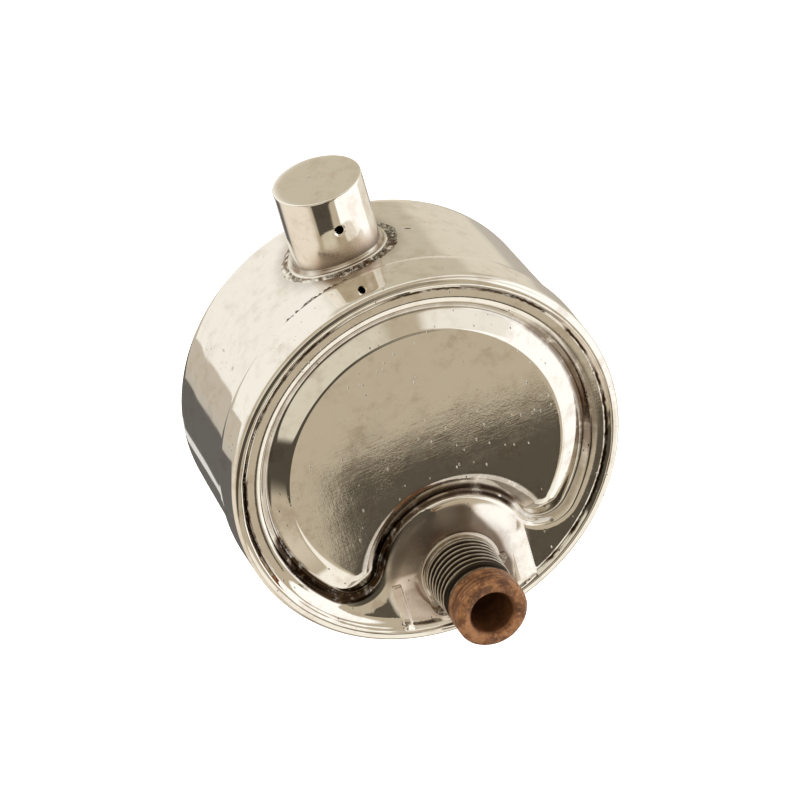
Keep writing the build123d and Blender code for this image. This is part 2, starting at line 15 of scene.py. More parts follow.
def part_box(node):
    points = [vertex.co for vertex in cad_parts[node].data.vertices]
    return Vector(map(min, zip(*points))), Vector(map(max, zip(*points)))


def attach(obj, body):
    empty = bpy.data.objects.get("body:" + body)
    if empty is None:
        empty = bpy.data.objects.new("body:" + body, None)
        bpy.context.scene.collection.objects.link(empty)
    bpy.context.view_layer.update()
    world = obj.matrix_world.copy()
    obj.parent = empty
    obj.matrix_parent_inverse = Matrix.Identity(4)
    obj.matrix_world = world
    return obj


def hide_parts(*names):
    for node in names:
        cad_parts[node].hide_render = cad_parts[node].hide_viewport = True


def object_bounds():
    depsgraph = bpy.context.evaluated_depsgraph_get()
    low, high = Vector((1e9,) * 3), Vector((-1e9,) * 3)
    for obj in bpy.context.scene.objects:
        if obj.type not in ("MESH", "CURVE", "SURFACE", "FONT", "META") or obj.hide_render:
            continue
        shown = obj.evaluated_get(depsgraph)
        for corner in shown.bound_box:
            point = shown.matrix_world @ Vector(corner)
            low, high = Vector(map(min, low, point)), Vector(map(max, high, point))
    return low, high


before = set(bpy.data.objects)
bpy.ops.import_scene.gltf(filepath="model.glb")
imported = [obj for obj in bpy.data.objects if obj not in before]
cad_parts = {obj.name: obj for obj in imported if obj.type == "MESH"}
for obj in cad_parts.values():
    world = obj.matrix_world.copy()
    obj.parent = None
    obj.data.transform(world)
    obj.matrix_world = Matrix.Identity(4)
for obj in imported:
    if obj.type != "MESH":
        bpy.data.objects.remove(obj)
cad_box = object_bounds()

MM = 0.001


# ---------------------------------------------------------------- sizes read from the frame
def span(node):
    """Lowest and highest corner of a CAD node, in millimetres."""
    low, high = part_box(node)
    return np.array(low) / MM, np.array(high) / MM


cover_low, cover_high = span("front_cover")
shell_low, shell_high = span("rear_shell")
cap_low, cap_high = span("vent_cap")
nipple_low, nipple_high = span("inlet_nipple")

DRUM_RADIUS = (cover_high[0] - cover_low[0]) / 2
AXIS_Z = (cover_high[2] + cover_low[2]) / 2
SKIRT_Y = cover_high[1]
RIM_Y = SKIRT_Y - 6.2
SHELL_RADIUS = (shell_high[0] - shell_low[0]) / 2
BACK_Y = shell_high[1]
BACK_RADIUS = SHELL_RADIUS - 0.7
CAP_X = (cap_high[0] + cap_low[0]) / 2
CAP_Y = (cap_high[1] + cap_low[1]) / 2
CAP_RADIUS = (cap_high[0] - cap_low[0]) / 2
CAP_TOP = cap_high[2]
NIPPLE_TIP = nipple_low[1]
NIPPLE_BACK = nipple_high[1]
FLANGE_RADIUS = (nipple_high[0] - nipple_low[0]) / 2
SHEET = 0.5


# ---------------------------------------------------------------- small helpers
def smoothstep(value, low, high):
    """0 below low, 1 above high, and a smooth rise between."""
    t = np.clip((value - low) / (high - low), 0, 1)
    return t * t * (3 - 2 * t)


def window(value, start, full, wane, end):
    """0 before start, 1 from full to wane, 0 again past end, and smooth between."""
    return smoothstep(value, start, full) * (1 - smoothstep(value, wane, end))


def noise(points, size, seed):
    """Smooth random values from -1 to 1 at each point, with features about size across."""
    place = np.asarray(points) / size + 31.7 * seed
    cell = np.floor(place).astype(np.int64)
    part = place - cell
    part = part * part * (3 - 2 * part)
    total = np.zeros(place.shape[:-1])
    for corner in itertools.product((0, 1), repeat=3):
        node = cell + np.array(corner)
        mixed = (node[..., 0] * 73856093) ^ (node[..., 1] * 19349663) ^ (node[..., 2] * 83492791)
        mixed = (mixed ^ (mixed >> 13)) * 1274126177 & 0x7FFFFFFF
        value = (mixed ^ (mixed >> 16)) % 65536 / 32767.5 - 1
        total += value * np.prod(np.where(corner, part, 1 - part), axis=-1)
    return total


def smooth_profile(nodes, width, step=0.02):
    """Function that follows the (position, height) nodes with their corners rounded over width."""
    at, height = np.array(nodes, dtype=float).T
    fine = np.arange(at[0] - 3 * width, at[-1] + 3 * width, step)
    raw = np.interp(fine, at, height)
    reach = np.arange(-3 * width, 3 * width + step, step)
    kernel = np.exp(-0.5 * (reach / width) ** 2)
    padded = np.pad(raw, len(reach) // 2, mode="edge")
    soft = np.convolve(padded, kernel / kernel.sum(), mode="same")[len(reach) // 2 :][: len(fine)]
    return lambda value: np.interp(value, fine, soft)


def rounded(points, radii, step=None):
    """Outline through the points with each inner corner turned into an arc, and long runs divided."""
    points = [np.array(p, dtype=float) for p in points]
    out = [points[0]]
    for before, corner, after, radius in zip(points, points[1:], points[2:], radii):
        into, away = before - corner, after - corner
        into_length, away_length = np.linalg.norm(into), np.linalg.norm(away)
        into, away = into / into_length, away / away_length
        half = math.acos(np.clip(into @ away, -1, 1)) / 2
        reach = min(radius / math.tan(half), 0.49 * into_length, 0.49 * away_length)
        start, end = corner + reach * into, corner + reach * away
        pull = 0.4 * corner + 0.3 * (start + end)
        for t in np.linspace(0, 1, 7):
            out.append((1 - t) ** 2 * start + 2 * t * (1 - t) * pull + t * t * end)
    out.append(points[-1])
    if step:
        dense = [out[0]]
        for point in out[1:]:
            count = max(1, int(np.linalg.norm(point - dense[-1]) / step))
            start = dense[-1]
            dense += [start + (point - start) * k / count for k in range(1, count + 1)]
        out = dense
    return np.array(out)


def add_object(name, data):
    thing = bpy.data.objects.new(name, data)
    bpy.context.scene.collection.objects.link(thing)
    return thing


def mesh_piece(name, vertices, faces, marks=None, sharp_angle=None):
    """Smooth-shaded closed object from vertices in millimetres, its faces turned outwards."""
    mesh = bpy.data.meshes.new(name)
    vertices = np.asarray(vertices) * MM
    volume = 0.0
    for face in faces:
        for second, third in zip(face[1:], face[2:]):
            a, b, c = vertices[face[0]], vertices[second], vertices[third]
            volume += a[0] * (b[1] * c[2] - b[2] * c[1]) + a[1] * (b[2] * c[0] - b[0] * c[2])
            volume += a[2] * (b[0] * c[1] - b[1] * c[0])
    if volume < 0:
        faces = [tuple(reversed(face)) for face in faces]
    mesh.from_pydata(vertices.tolist(), [], faces)
    mesh.polygons.foreach_set("use_smooth", [True] * len(mesh.polygons))
    for mark, values in (marks or {}).items():
        layer = mesh.attributes.new(mark, "FLOAT", "POINT")
        layer.data.foreach_set("value", np.asarray(values, dtype=np.float32))
    if sharp_angle:
        mesh.set_sharp_from_angle(angle=math.radians(sharp_angle))
    return add_object(name, mesh)


def shade_with(piece, normals):
    """Shades the piece's first vertices with the exact normals given, and the rest with the mesh's own."""
    mesh = piece.data
    own = np.empty(len(mesh.vertices) * 3, dtype=np.float32)
    mesh.vertex_normals.foreach_get("vector", own)
    own = own.reshape(-1, 3)
    own[: len(normals)] = normals
    mesh.normals_split_custom_set_from_vertices(own.tolist())


def ring_faces(index, closed):
    """Quads between neighbouring rows of a table of vertex numbers whose rows are closed rings."""
    if closed:
        index = np.vstack([index, index[:1]])
    low, high = index[:-1], index[1:]
    quads = np.stack([low, np.roll(low, -1, 1), np.roll(high, -1, 1), high], axis=-1)
    return [tuple(q) for q in quads.reshape(-1, 4).tolist()]


def pole_faces(pole, ring):
    """Triangles between a pole and a ring, both given as vertex numbers."""
    return [(pole, int(near), int(after)) for near, after in zip(ring, np.roll(ring, -1))]


def ring_piece(name, rings, marks):
    """Closed object over rings of points, of which the last joins the first."""
    count, around = rings.shape[:2]
    index = np.arange(count * around).reshape(count, around)
    marks = {key: value.reshape(-1) for key, value in marks.items()}
    return mesh_piece(name, rings.reshape(-1, 3), ring_faces(index, closed=True), marks)


def turn_round(count):
    """Equal steps of angle round one turn."""
    return np.linspace(0, 2 * np.pi, count, endpoint=False)


def lathe_rings(profile, around, height=0.0):
    """Rings of a (y, radius) profile turned about the line along Y at this height."""
    angle = turn_round(around)
    along, radius = profile[:, :1], profile[:, 1:]
    x = radius * np.cos(angle)
    return np.stack([x, np.broadcast_to(along, x.shape), height + radius * np.sin(angle)], axis=-1)


def from_axis(x, z):
    """Distance from the drum's axis."""
    return np.hypot(x, z - AXIS_Z)


def bearing(x, z):
    """Degrees round the drum's axis, from 0 on the right through 90 at the top."""
    return np.degrees(np.arctan2(z - AXIS_Z, x)) % 360


# ---------------------------------------------------------------- front cover
GROOVE_TOP = dict(outer=22.7, inner=10.1, tip=4.6)
GROOVE_FLOOR = dict(outer=21.8, inner=10.7, tip=3.8)
FLANK_FOOT = dict(outer=21.4, inner=11.0, tip=3.5)
PLATEAU_EDGE = dict(outer=18.9, inner=13.1, tip=1.2)
WALL_WIDTH, FLOOR_WIDTH, FLANK_WIDTH = 0.9, 0.4, 2.5
LAND = 0.4
DIP_WIDTH = 2.2
HOLE_RADIUS = 5.1
CREST_RADIUS = 25.5
BOSS_RADIUS = 9.6
RIM_FOLD = 24.15


def tip_centre(from_drum, from_nipple):
    """Centre of the kidney's right tip, at these distances from the drum's and the nipple's axes."""
    tip_z = (AXIS_Z**2 - from_drum**2 + from_nipple**2) / (2 * AXIS_Z)
    return math.sqrt(from_nipple**2 - tip_z**2), tip_z


def kidney_distance(x, z, outer, inner, tip):
    """Distance from the pressed panel's kidney outline, negative inside it."""
    from_drum, from_nipple = outer - tip, inner + tip
    tip_x, tip_z = tip_centre(from_drum, from_nipple)
    distance = np.maximum(from_axis(x, z) - from_drum, from_nipple - np.hypot(x, z))
    out_x, out_z = tip_x / from_drum, (tip_z - AXIS_Z) / from_drum
    in_x, in_z = -tip_x / from_nipple, -tip_z / from_nipple
    across, up = np.abs(x) - tip_x, z - tip_z
    turn = out_x * in_z - out_z * in_x
    past_outer = (across * in_z - up * in_x) / turn
    past_inner = (out_x * up - out_z * across) / turn
    corner = (past_outer > 0) & (past_inner > 0)
    return np.where(corner, np.hypot(across, up), distance) - tip


def groove_place(x, z):
    """Place across the groove: 0 at its outer edge, rising inwards over wall, floor and flank."""
    top = kidney_distance(x, z, **GROOVE_TOP)
    floor = kidney_distance(x, z, **GROOVE_FLOOR)
    foot = kidney_distance(x, z, **FLANK_FOOT)
    edge = kidney_distance(x, z, **PLATEAU_EDGE)
    wall_part = np.clip(-top / np.maximum(floor - top, 1e-6), 0, 1)
    floor_part = np.clip(-floor / np.maximum(foot - floor, 1e-6), 0, 1)
    flank_part = np.clip(-foot / np.maximum(edge - foot, 1e-6), 0, 1)
    inside = WALL_WIDTH * wall_part + FLOOR_WIDTH * floor_part + FLANK_WIDTH * flank_part
    return np.where(top > 0, -top, inside + np.maximum(-edge, 0))


def kidney_outline(outer, inner, tip, grow=0.0):
    """Points along a kidney outline, grown outwards; equal counts on every outline line up."""
    outer, inner, tip = outer + grow, inner - grow, tip + grow
    tip_x, tip_z = tip_centre(outer - tip, inner + tip)
    below = math.atan2(tip_z - AXIS_Z, tip_x)
    above = math.atan2(tip_z, tip_x)
    over = np.linspace(below, math.pi - below, 380, endpoint=False)
    left = np.linspace(math.pi - below, 2 * math.pi - above, 48, endpoint=False)
    under = np.linspace(math.pi - above, above, 130, endpoint=False)
    right = np.linspace(above - math.pi, below, 48, endpoint=False)
    parts = (
        (0, AXIS_Z, outer, over),
        (-tip_x, tip_z, tip, left),
        (0, 0, inner, under),
        (tip_x, tip_z, tip, right),
    )
    return np.concatenate([
        np.stack([x + radius * np.cos(angle), z + radius * np.sin(angle)], axis=-1)
        for x, z, radius, angle in parts
    ])


flank_end = WALL_WIDTH + FLOOR_WIDTH + FLANK_WIDTH
groove_depth = smooth_profile(
    [
        (-3.0, 0.0),
        (-0.6, 0.0),
        (0.0, 0.04),
        (WALL_WIDTH, 1.0),
        (WALL_WIDTH + FLOOR_WIDTH, 1.02),
        (flank_end, -0.24),
        (flank_end + 0.6, -0.255),
        (flank_end + 14.0, -0.255),
    ],
    width=0.16,
)
boss_lift = smooth_profile(
    [(4.0, 1.0), (5.7, 0.95), (9.3, 0.02), (BOSS_RADIUS, 0.0), (12.0, 0.0)], width=0.2
)
rim_depth = smooth_profile(
    [(23.0, 0.0), (24.5, 0.0), (24.6, 0.03), (25.3, -LAND), (26.0, -LAND)], width=0.07
)


def rib_height(x, z):
    """Height of the two ribs beside the nipple, before the boss is added."""
    side = np.abs(x)
    # left of the nipple a narrow rib with a tilted top, on the right a wedge that falls away outwards
    narrow = window(side, 8.0, 8.25, 9.05, 9.3) * (0.4 - 0.05 * (side - 8.0))
    narrow = narrow * (1 - smoothstep(z + 0.25 * (side - 8.65) ** 2, 0.7, 1.1))
    wedge = window(side, 5.6, 7.4, 9.6, 9.8)
    wedge = wedge * (0.5 - 0.4 * np.clip((side - 7.4) / 2.4, 0, 1)) * (1 - smoothstep(z, 0.2, 3.4))
    return np.where(x > 0, wedge, narrow) * (1 - smoothstep(from_axis(x, z), 24.8, 25.2))


def cover_depth(x, z):
    """How far the cover's face lies behind the rim's crest."""
    points = np.stack([x, np.zeros_like(x), z], axis=-1)
    radius, degrees, place = from_axis(x, z), bearing(x, z), groove_place(x, z)
    wander = 0.05 * noise(points, 2.1, 3) + 0.004 * noise(points, 0.7, 4)
    depth = LAND + rim_depth(radius + wander)
    # the rim's crease is shallower along the lower left
    shallow = window(degrees, 196, 212, 248, 258)
    depth = depth - shallow * 0.22 * window(radius, 23.3, 24.6, 24.6, 25.2)
    # the land dips gently towards the groove along the lower left
    dip = window(degrees, 204, 222, 250, 264)
    dip = dip * 0.057 * np.clip(place + DIP_WIDTH, 0, DIP_WIDTH + 0.6) ** 2
    groove = groove_depth(place)
    depth = depth + np.where(place < 0.6, np.maximum(groove, dip), groove)
    from_nipple = np.hypot(x, z)
    pocket = smoothstep(-x, 3.5, 5.5) * (1 - smoothstep(z, -0.6, 2.2)) * smoothstep(from_nipple, 5.7, 6.5)
    depth = depth - np.maximum(rib_height(x, z), boss_lift(from_nipple) * (1 - pocket))
    # below the nipple the boss runs out into the rim
    strip = smoothstep(radius, 23.9, 24.5) * (1 - smoothstep(np.abs(x), 8.0, 8.8)) * (z < AXIS_Z)
    strip = strip * (1 - smoothstep(radius, 25.0, 25.3))
    depth = np.where(strip > 0, depth * (1 - strip) + 0.05 * strip, depth)
    # the press leaves the metal gently uneven
    flat = np.clip(depth / LAND, 0, 1)
    return depth + flat * (0.0016 * noise(points, 7.0, 5) + 0.0004 * noise(points, 2.4, 6))


def cover_normals(x, z):
    """Outward normals of the cover's face, from its exact slope."""
    reach = 0.012
    slope_x = (cover_depth(x + reach, z) - cover_depth(x - reach, z)) / (2 * reach)
    slope_z = (cover_depth(x, z + reach) - cover_depth(x, z - reach)) / (2 * reach)
    normals = np.stack([slope_x, np.full_like(x, -1.0), slope_z], axis=-1)
    return normals / np.linalg.norm(normals, axis=-1, keepdims=True)


def circle(z, radius, count):
    """Points round a circle whose centre is at this height over the nipple."""
    angle = turn_round(count)
    return np.stack([radius * np.cos(angle), z + radius * np.sin(angle)], axis=-1)


def circles(z, radii, count):
    return np.concatenate([circle(z, radius, count) for radius in radii])


def grid(low, high, step_x, step_z):
    """Points filling a box, every other row shifted by half a step."""
    x, z = np.meshgrid(np.arange(low[0], high[0], step_x), np.arange(low[1], high[1], step_z))
    x = x + 0.5 * step_x * (np.arange(x.shape[0]) % 2)[:, None]
    return np.stack([x, z], axis=-1).reshape(-1, 2)


def at_feet(points, margin):
    """Whether points lie where the ribs' feet have a fine grid of their own, or within a margin of it."""
    side = np.abs(points[:, 0])
    return (side > 6.4 - margin) & (side < 10.3 + margin) & (points[:, 1] < 1.9 + margin)


def face_points(around):
    """Places for the vertices of the cover's face, close together across its folds: first the
    nipple's hole, then the rim's crest, and then everything between."""
    outlines = [kidney_outline(**sizes) for sizes in (GROOVE_TOP, GROOVE_FLOOR, FLANK_FOOT, PLATEAU_EDGE)]
    bands = []
    for grow in (2.1, 1.8, 1.5, 1.2, 0.95, 0.75, 0.6, 0.48, 0.37, 0.28, 0.2, 0.13, 0.06):
        bands.append(kidney_outline(**GROOVE_TOP, grow=grow))
    for first, second, count in zip(outlines, outlines[1:], (13, 6, 24)):
        for t in np.linspace(0, 1, count, endpoint=False):
            bands.append(first * (1 - t) + second * t)
    for grow in (0.0, -0.09, -0.18, -0.28, -0.4, -0.55, -0.7, -0.85, -1.0):
        bands.append(kidney_outline(**PLATEAU_EDGE, grow=grow))
    bands = np.concatenate(bands)
    bands = bands[(from_axis(*bands.T) < RIM_FOLD) & (np.hypot(*bands.T) > 5.4) & ~at_feet(bands, 0.1)]

    boss = circles(0, np.arange(5.3, 9.9, 0.16), 240)
    on_land = (groove_place(*boss.T) < -DIP_WIDTH) & (from_axis(*boss.T) < 22.95)
    boss = boss[on_land & ~at_feet(boss, 0.05)]

    feet = grid((-10.3, -6.0), (10.3, 1.9), 0.11, 0.22)
    feet = feet[(np.abs(feet[:, 0]) > 6.4) & (from_axis(*feet.T) < RIM_FOLD)]

    fill = grid((-24, -7), (24, 41), 0.8, 0.7)
    place, radius = groove_place(*fill.T), from_axis(*fill.T)
    clear = ((place > flank_end + 1.3) | (place < -2.3)) & ((radius < 22.9) | (place > 0))
    fill = fill[clear & (radius < 23.9) & (np.hypot(*fill.T) > 10.1) & ~at_feet(fill, 0.2)]

    lower_rim = circles(AXIS_Z, np.arange(24.08, 23.0, -0.14), around)
    on_land = (groove_place(*lower_rim.T) < -DIP_WIDTH) & (lower_rim[:, 1] < AXIS_Z)
    lower_rim = lower_rim[on_land & ~at_feet(lower_rim, 0.1) & (np.hypot(*lower_rim.T) > 5.4)]

    rim = circles(AXIS_Z, np.arange(CREST_RADIUS - 0.06, 24.2, -0.07), around)
    rim = rim[np.hypot(*rim.T) > 5.3]
    hole, crest = circle(0, HOLE_RADIUS, around), circle(AXIS_Z, CREST_RADIUS, around)
    return np.concatenate([hole, crest, rim, lower_rim, bands, boss, feet, fill])


def face_mesh(around):
    """Places and triangles of the cover's face."""
    points = face_points(around)
    found = delaunay_2d_cdt([Vector(p) for p in points.tolist()], [], [], 0, 1e-5)
    triangles, origins = found[2], found[3]
    # the first two loops keep their order, so the skirt and the underside can join them
    number = np.array([min(group) for group in origins])
    triangles = number[np.array(triangles)]
    triangles = triangles[~(triangles < around).all(axis=1)]
    used = np.unique(triangles)
    renumber = np.zeros(len(points), dtype=int)
    renumber[used] = np.arange(len(used))
    return points[used], renumber[triangles]


def cover_marks(points):
    """Where the cover is tarnished and dulled, with brown painted shade in the groove and brown painted
    dark reflections beside the arch and over the boss.
    """
    x, y, z = points.T
    place, degrees, from_nipple = groove_place(x, z), bearing(x, z), np.hypot(x, z)
    ragged = noise(points, 2.2, 7)
    # brown lies thick in two stretches of the groove and along the arch over the nipple: partly tarnish,
    # partly painted shade where the groove's walls shade each other
    bottom = smoothstep(place, 0.15, 0.5) * (1 - smoothstep(place + 0.25 * ragged, 1.15, 1.6))
    right = smoothstep(degrees + 6 * ragged, 330, 340) + 1 - smoothstep(degrees + 6 * ragged, 30, 44)
    lower = smoothstep(degrees + 4 * ragged, 184, 192) * (1 - smoothstep(degrees + 3 * ragged, 233, 238))
    wide = lower * smoothstep(place + 0.1 * ragged, -0.3, -0.1) * (1 - smoothstep(place, 1.3, 1.6))
    outside = smoothstep(place + 0.2 * ragged, -1.3, -0.4) * (1 - smoothstep(place, 1.1, 1.5))
    outside = 0.6 * outside * (1 - smoothstep(np.abs((degrees + 184) % 360 - 186), 14, 26))
    # painted dark reflection: past the flank the arch's darkening runs on over the plateau at half
    # strength
    arch = smoothstep(place, 0.1, 0.5) * (1 - 0.5 * smoothstep(place + 0.3 * ragged, 1.9, 2.6))
    arch = arch * (1 - smoothstep(place + 0.4 * ragged, 4.3, 5.6))
    arch = arch * (1 - smoothstep(from_nipple, 13.2, 14.2)) * smoothstep(z, 3.5, 6.0)
    broad = 0.72 * right * smoothstep(place + 0.2 * ragged, -0.35, 0.0) * (1 - smoothstep(place, 1.3, 1.7))
    thick = bottom * np.clip(0.3 + 0.45 * right + lower, 0, 1)
    # a torn dark line runs in the crease inside the rim, except below
    torn = from_axis(x, z) + 0.12 * noise(points, 0.45, 14)
    upper = window(degrees, 85, 100, 178, 190)
    crease = smoothstep(torn, 24.4, 24.55) * (1 - smoothstep(torn - 0.12 * upper, 24.8, 24.95))
    crease = crease * smoothstep(noise(points, 4.0, 15), -0.6, -0.1)
    crease = crease * (1 - 0.94 * window(degrees, 185, 200, 285, 300))
    near_nipple = 0.5 * (1 - smoothstep(from_nipple, 5.8, 8.5))
    grime_and_painted_shade = np.maximum.reduce([thick, 0.9 * arch, broad, wide, outside, crease, near_nipple])
    grime_and_painted_shade = grime_and_painted_shade * (y < RIM_Y + 3)
    # handling has dulled the plate round the nipple, most of all on the left
    haze = 0.35 + 0.65 * smoothstep(-x, 1.0, 6.0)
    haze = haze * (1 - smoothstep(from_nipple + 0.5 * ragged, 9.3, 10.6)) * (0.8 + 0.2 * ragged)
    # painted dark reflection: a brown darkening with a round edge lies over the nipple and to its right,
    # in place of a dark reflection on the boss
    from_dark_reflection_centre = np.hypot(x + 17.5, z + 4.0) + 0.25 * ragged
    browning_and_painted_reflection = (1 - smoothstep(from_dark_reflection_centre, 24.0, 24.8)) * (1 - smoothstep(from_nipple, 8.8, 9.8))
    browning_and_painted_reflection = browning_and_painted_reflection * smoothstep(z, -7.5, -5.5) * (0.3 + 0.7 * smoothstep(x, -2.0, 3.0))
    return {"grime_and_painted_shade": grime_and_painted_shade, "haze": haze, "browning_and_painted_reflection": browning_and_painted_reflection}


def make_cover():
    """The stamped cover: its face, the rolled rim and skirt, and the underside one sheet behind."""
    around = 560
    places, triangles = face_mesh(around)
    x, z = places.T
    front = np.stack([x, RIM_Y + cover_depth(x, z), z], axis=-1)
    skirt_profile = rounded(
        [
            (RIM_Y, CREST_RADIUS + 0.02),
            (RIM_Y, DRUM_RADIUS),
            (SKIRT_Y, DRUM_RADIUS),
            (SKIRT_Y, DRUM_RADIUS - 0.45),
            (RIM_Y + 1.4, DRUM_RADIUS - 0.45),
            (RIM_Y + 0.7, CREST_RADIUS - 0.7),
        ],
        radii=[0.95, 0.12, 0.1, 0.8],
        step=0.7,
    )
    skirt = lathe_rings(skirt_profile, around, AXIS_Z)
    swell = np.abs(0.03 * noise(skirt, 9.0, 8) + 0.006 * noise(skirt, 2.5, 9))
    swell = swell * smoothstep(skirt[..., 1], RIM_Y + 1.0, RIM_Y + 3.0) / DRUM_RADIUS
    skirt[..., 0] -= skirt[..., 0] * swell
    skirt[..., 2] -= (skirt[..., 2] - AXIS_Z) * swell
    share = np.linspace(0.97, 0, 24)[:, None]
    radius = HOLE_RADIUS + (CREST_RADIUS - HOLE_RADIUS) * share
    angle = turn_round(around)
    under_x, under_z = radius * np.cos(angle), AXIS_Z * share + radius * np.sin(angle)
    under = np.stack([under_x, RIM_Y + cover_depth(under_x, under_z) + SHEET, under_z], axis=-1)
    walls = np.concatenate([skirt, under])
    hole_loop = np.arange(around)[None]
    crest_loop = hole_loop + around
    index = len(front) + np.arange(len(walls) * around).reshape(-1, around)
    faces = [tuple(t) for t in triangles[:, ::-1].tolist()]
    faces += ring_faces(np.vstack([crest_loop, index, hole_loop]), closed=False)
    points = np.concatenate([front, walls.reshape(-1, 3)])
    piece = mesh_piece("cover_stamping", points, faces, cover_marks(points))
    shade_with(piece, cover_normals(x, z))
    return piece


# ---------------------------------------------------------------- rear shell and seam
def make_shell():
    """The drawn rear cup, faintly dented, with a shallow dish pressed into its back."""
    outer = rounded(
        [
            (RIM_Y + 2.0, SHELL_RADIUS),
            (SKIRT_Y + 1.2, SHELL_RADIUS),
            (BACK_Y, BACK_RADIUS),
            (BACK_Y, 17.5),
            (BACK_Y - 0.6, 16.5),
            (BACK_Y - 0.6, 0.4),
        ],
        radii=[6.0, 1.7, 0.8, 0.8],
        step=0.8,
    )
    inner = rounded(
        [
            (BACK_Y - 0.6 - SHEET, 0.4),
            (BACK_Y - 0.6 - SHEET, 16.2),
            (BACK_Y - SHEET, 17.2),
            (BACK_Y - SHEET, BACK_RADIUS - SHEET),
            (SKIRT_Y + 1.2, SHELL_RADIUS - SHEET),
            (RIM_Y + 2.0, SHELL_RADIUS - SHEET),
        ],
        radii=[0.8, 0.8, 1.3, 6.0],
        step=2.5,
    )
    profile = np.concatenate([outer, inner])
    around = 288
    rings = lathe_rings(profile, around, AXIS_Z)
    radius = from_axis(rings[..., 0], rings[..., 2])
    dent = 0.05 * noise(rings, 12.0, 11) + 0.012 * noise(rings, 4.0, 12)
    dent = dent * smoothstep(radius, 20, 24) * (1 - smoothstep(rings[..., 1], BACK_Y - 3, BACK_Y))
    shrink = 1 - np.abs(dent) / np.maximum(radius, 1)
    rings[..., 0] *= shrink
    rings[..., 2] = AXIS_Z + (rings[..., 2] - AXIS_Z) * shrink
    from_cap = np.hypot(rings[..., 0] - CAP_X, rings[..., 1] - CAP_Y)
    grime_and_painted_shade = 0.3 * (1 - smoothstep(from_cap, 7.4, 9.5)) * (rings[..., 2] > AXIS_Z)
    # from the middle of the inside, over the open edge, to the middle of the outside
    count = len(outer)
    index = np.arange(rings.shape[0] * around).reshape(-1, around)
    faces = ring_faces(np.vstack([index[count:], index[:count]]), closed=False)
    middles = rings[[count - 1, count]].mean(1)
    vertices = np.vstack([rings.reshape(-1, 3), middles])
    faces += pole_faces(len(vertices) - 2, index[count - 1])
    faces += pole_faces(len(vertices) - 1, index[count][::-1])
    return mesh_piece("shell_cup", vertices, faces, {"grime_and_painted_shade": np.append(grime_and_painted_shade, [0, 0])})


def make_seam():
    """Thin fillet of solder where the cover's skirt ends, rough at its upper left."""
    around, steps = 900, 9
    angle = turn_round(around)
    rough = window(np.degrees(angle), 92, 98, 113, 119)
    line = np.stack([np.cos(angle), 0 * angle, np.sin(angle)], axis=-1) * SHELL_RADIUS
    coarse = noise(line, 1.1, 21)
    fine = noise(line, 0.35, 22)
    length = 0.32 + 0.08 * coarse + rough * (0.5 + 0.35 * fine)
    height = 0.28 + 0.06 * coarse + rough * (0.15 + 0.3 * fine)
    height = np.clip(height, 0.08, 0.47)
    start = SKIRT_Y - 0.06
    rings = []
    for t in np.linspace(0, math.pi / 2, steps):
        out = SHELL_RADIUS - 0.03 + height * abs(math.cos(t)) ** 0.8
        along = start + (length + 0.06) * math.sin(t)
        points = np.stack([out * np.cos(angle), along, out * np.sin(angle)], axis=-1)
        out = out + 0.05 * rough * noise(points, 0.25, 23) * math.cos(t)
        rings.append(np.stack([out * np.cos(angle), along, AXIS_Z + out * np.sin(angle)], axis=-1))
    under = SHELL_RADIUS - 0.15
    rings += list(lathe_rings(np.array([(SKIRT_Y + 0.2, under), (start, under)]), around, AXIS_Z))
    rings = np.array(rings)
    grime_and_painted_shade = np.broadcast_to(rough * (0.8 + 0.2 * fine), rings.shape[:2])
    return ring_piece("seam_bead", rings, {"grime_and_painted_shade": grime_and_painted_shade})


# ---------------------------------------------------------------- vent cap and its solder
HOLE_Z = 48.5
HOLE_RIM = 0.84
HOLE_BORE = 0.54
WARP = 2.3
CAP_DROP = 5.2
CAP_TOP_ROWS = 14


def drum_top(x, sink=0.0):
    """Height of the shell's surface above a place across the drum."""
    return AXIS_Z + np.sqrt((SHELL_RADIUS - 0.3 - sink) ** 2 - x**2)


def solder_ground(x, y):
    """Height of the metal that the cap's solder lies on: the tapered shell, or the skirt before it."""
    taper = 0.7 * np.clip((y - SKIRT_Y - 1.2) / (BACK_Y - SKIRT_Y - 1.2), 0, 1)
    front = 1 - smoothstep(y, SKIRT_Y, SKIRT_Y + 0.25)
    radius = SHELL_RADIUS - taper + front * (DRUM_RADIUS - 0.03 - SHELL_RADIUS)
    return AXIS_Z + np.sqrt(radius**2 - x**2)


def spaced(block, warp, reach):
    """Positions from 0 outwards, fine over the hole and its surroundings, coarser beyond."""
    near = np.linspace(0, block, 8)
    middle = np.linspace(block, warp, 13)[1:]
    far = np.linspace(warp, reach, max(3, int((reach - warp) / 0.28)))[1:]
    return np.concatenate([near, middle, far])


def block_edge(block):
    """Rows and columns along the edge of a marked block, walked once round."""
    low_row, high_row = np.where(block.any(1))[0][[0, -1]]
    low_col, high_col = np.where(block.any(0))[0][[0, -1]]
    loop = [(low_row, c) for c in range(low_col, high_col)]
    loop += [(r, high_col) for r in range(low_row, high_row)]
    loop += [(high_row, c) for c in range(high_col, low_col, -1)]
    loop += [(r, low_col) for r in range(high_row, low_row, -1)]
    return np.array(loop).T


def cap_wall(radius, angle, rise):
    """Rows of the cap's wall at this radius, the lowest of which follow the drum."""
    x = CAP_X + radius * np.cos(angle)
    y = CAP_Y + radius * np.sin(angle)
    low = smoothstep(-rise, WARP, CAP_DROP)
    z = (HOLE_Z + rise) * (1 - low) + low * drum_top(x, sink=0.08)
    return np.stack([x, y, z], axis=-1)


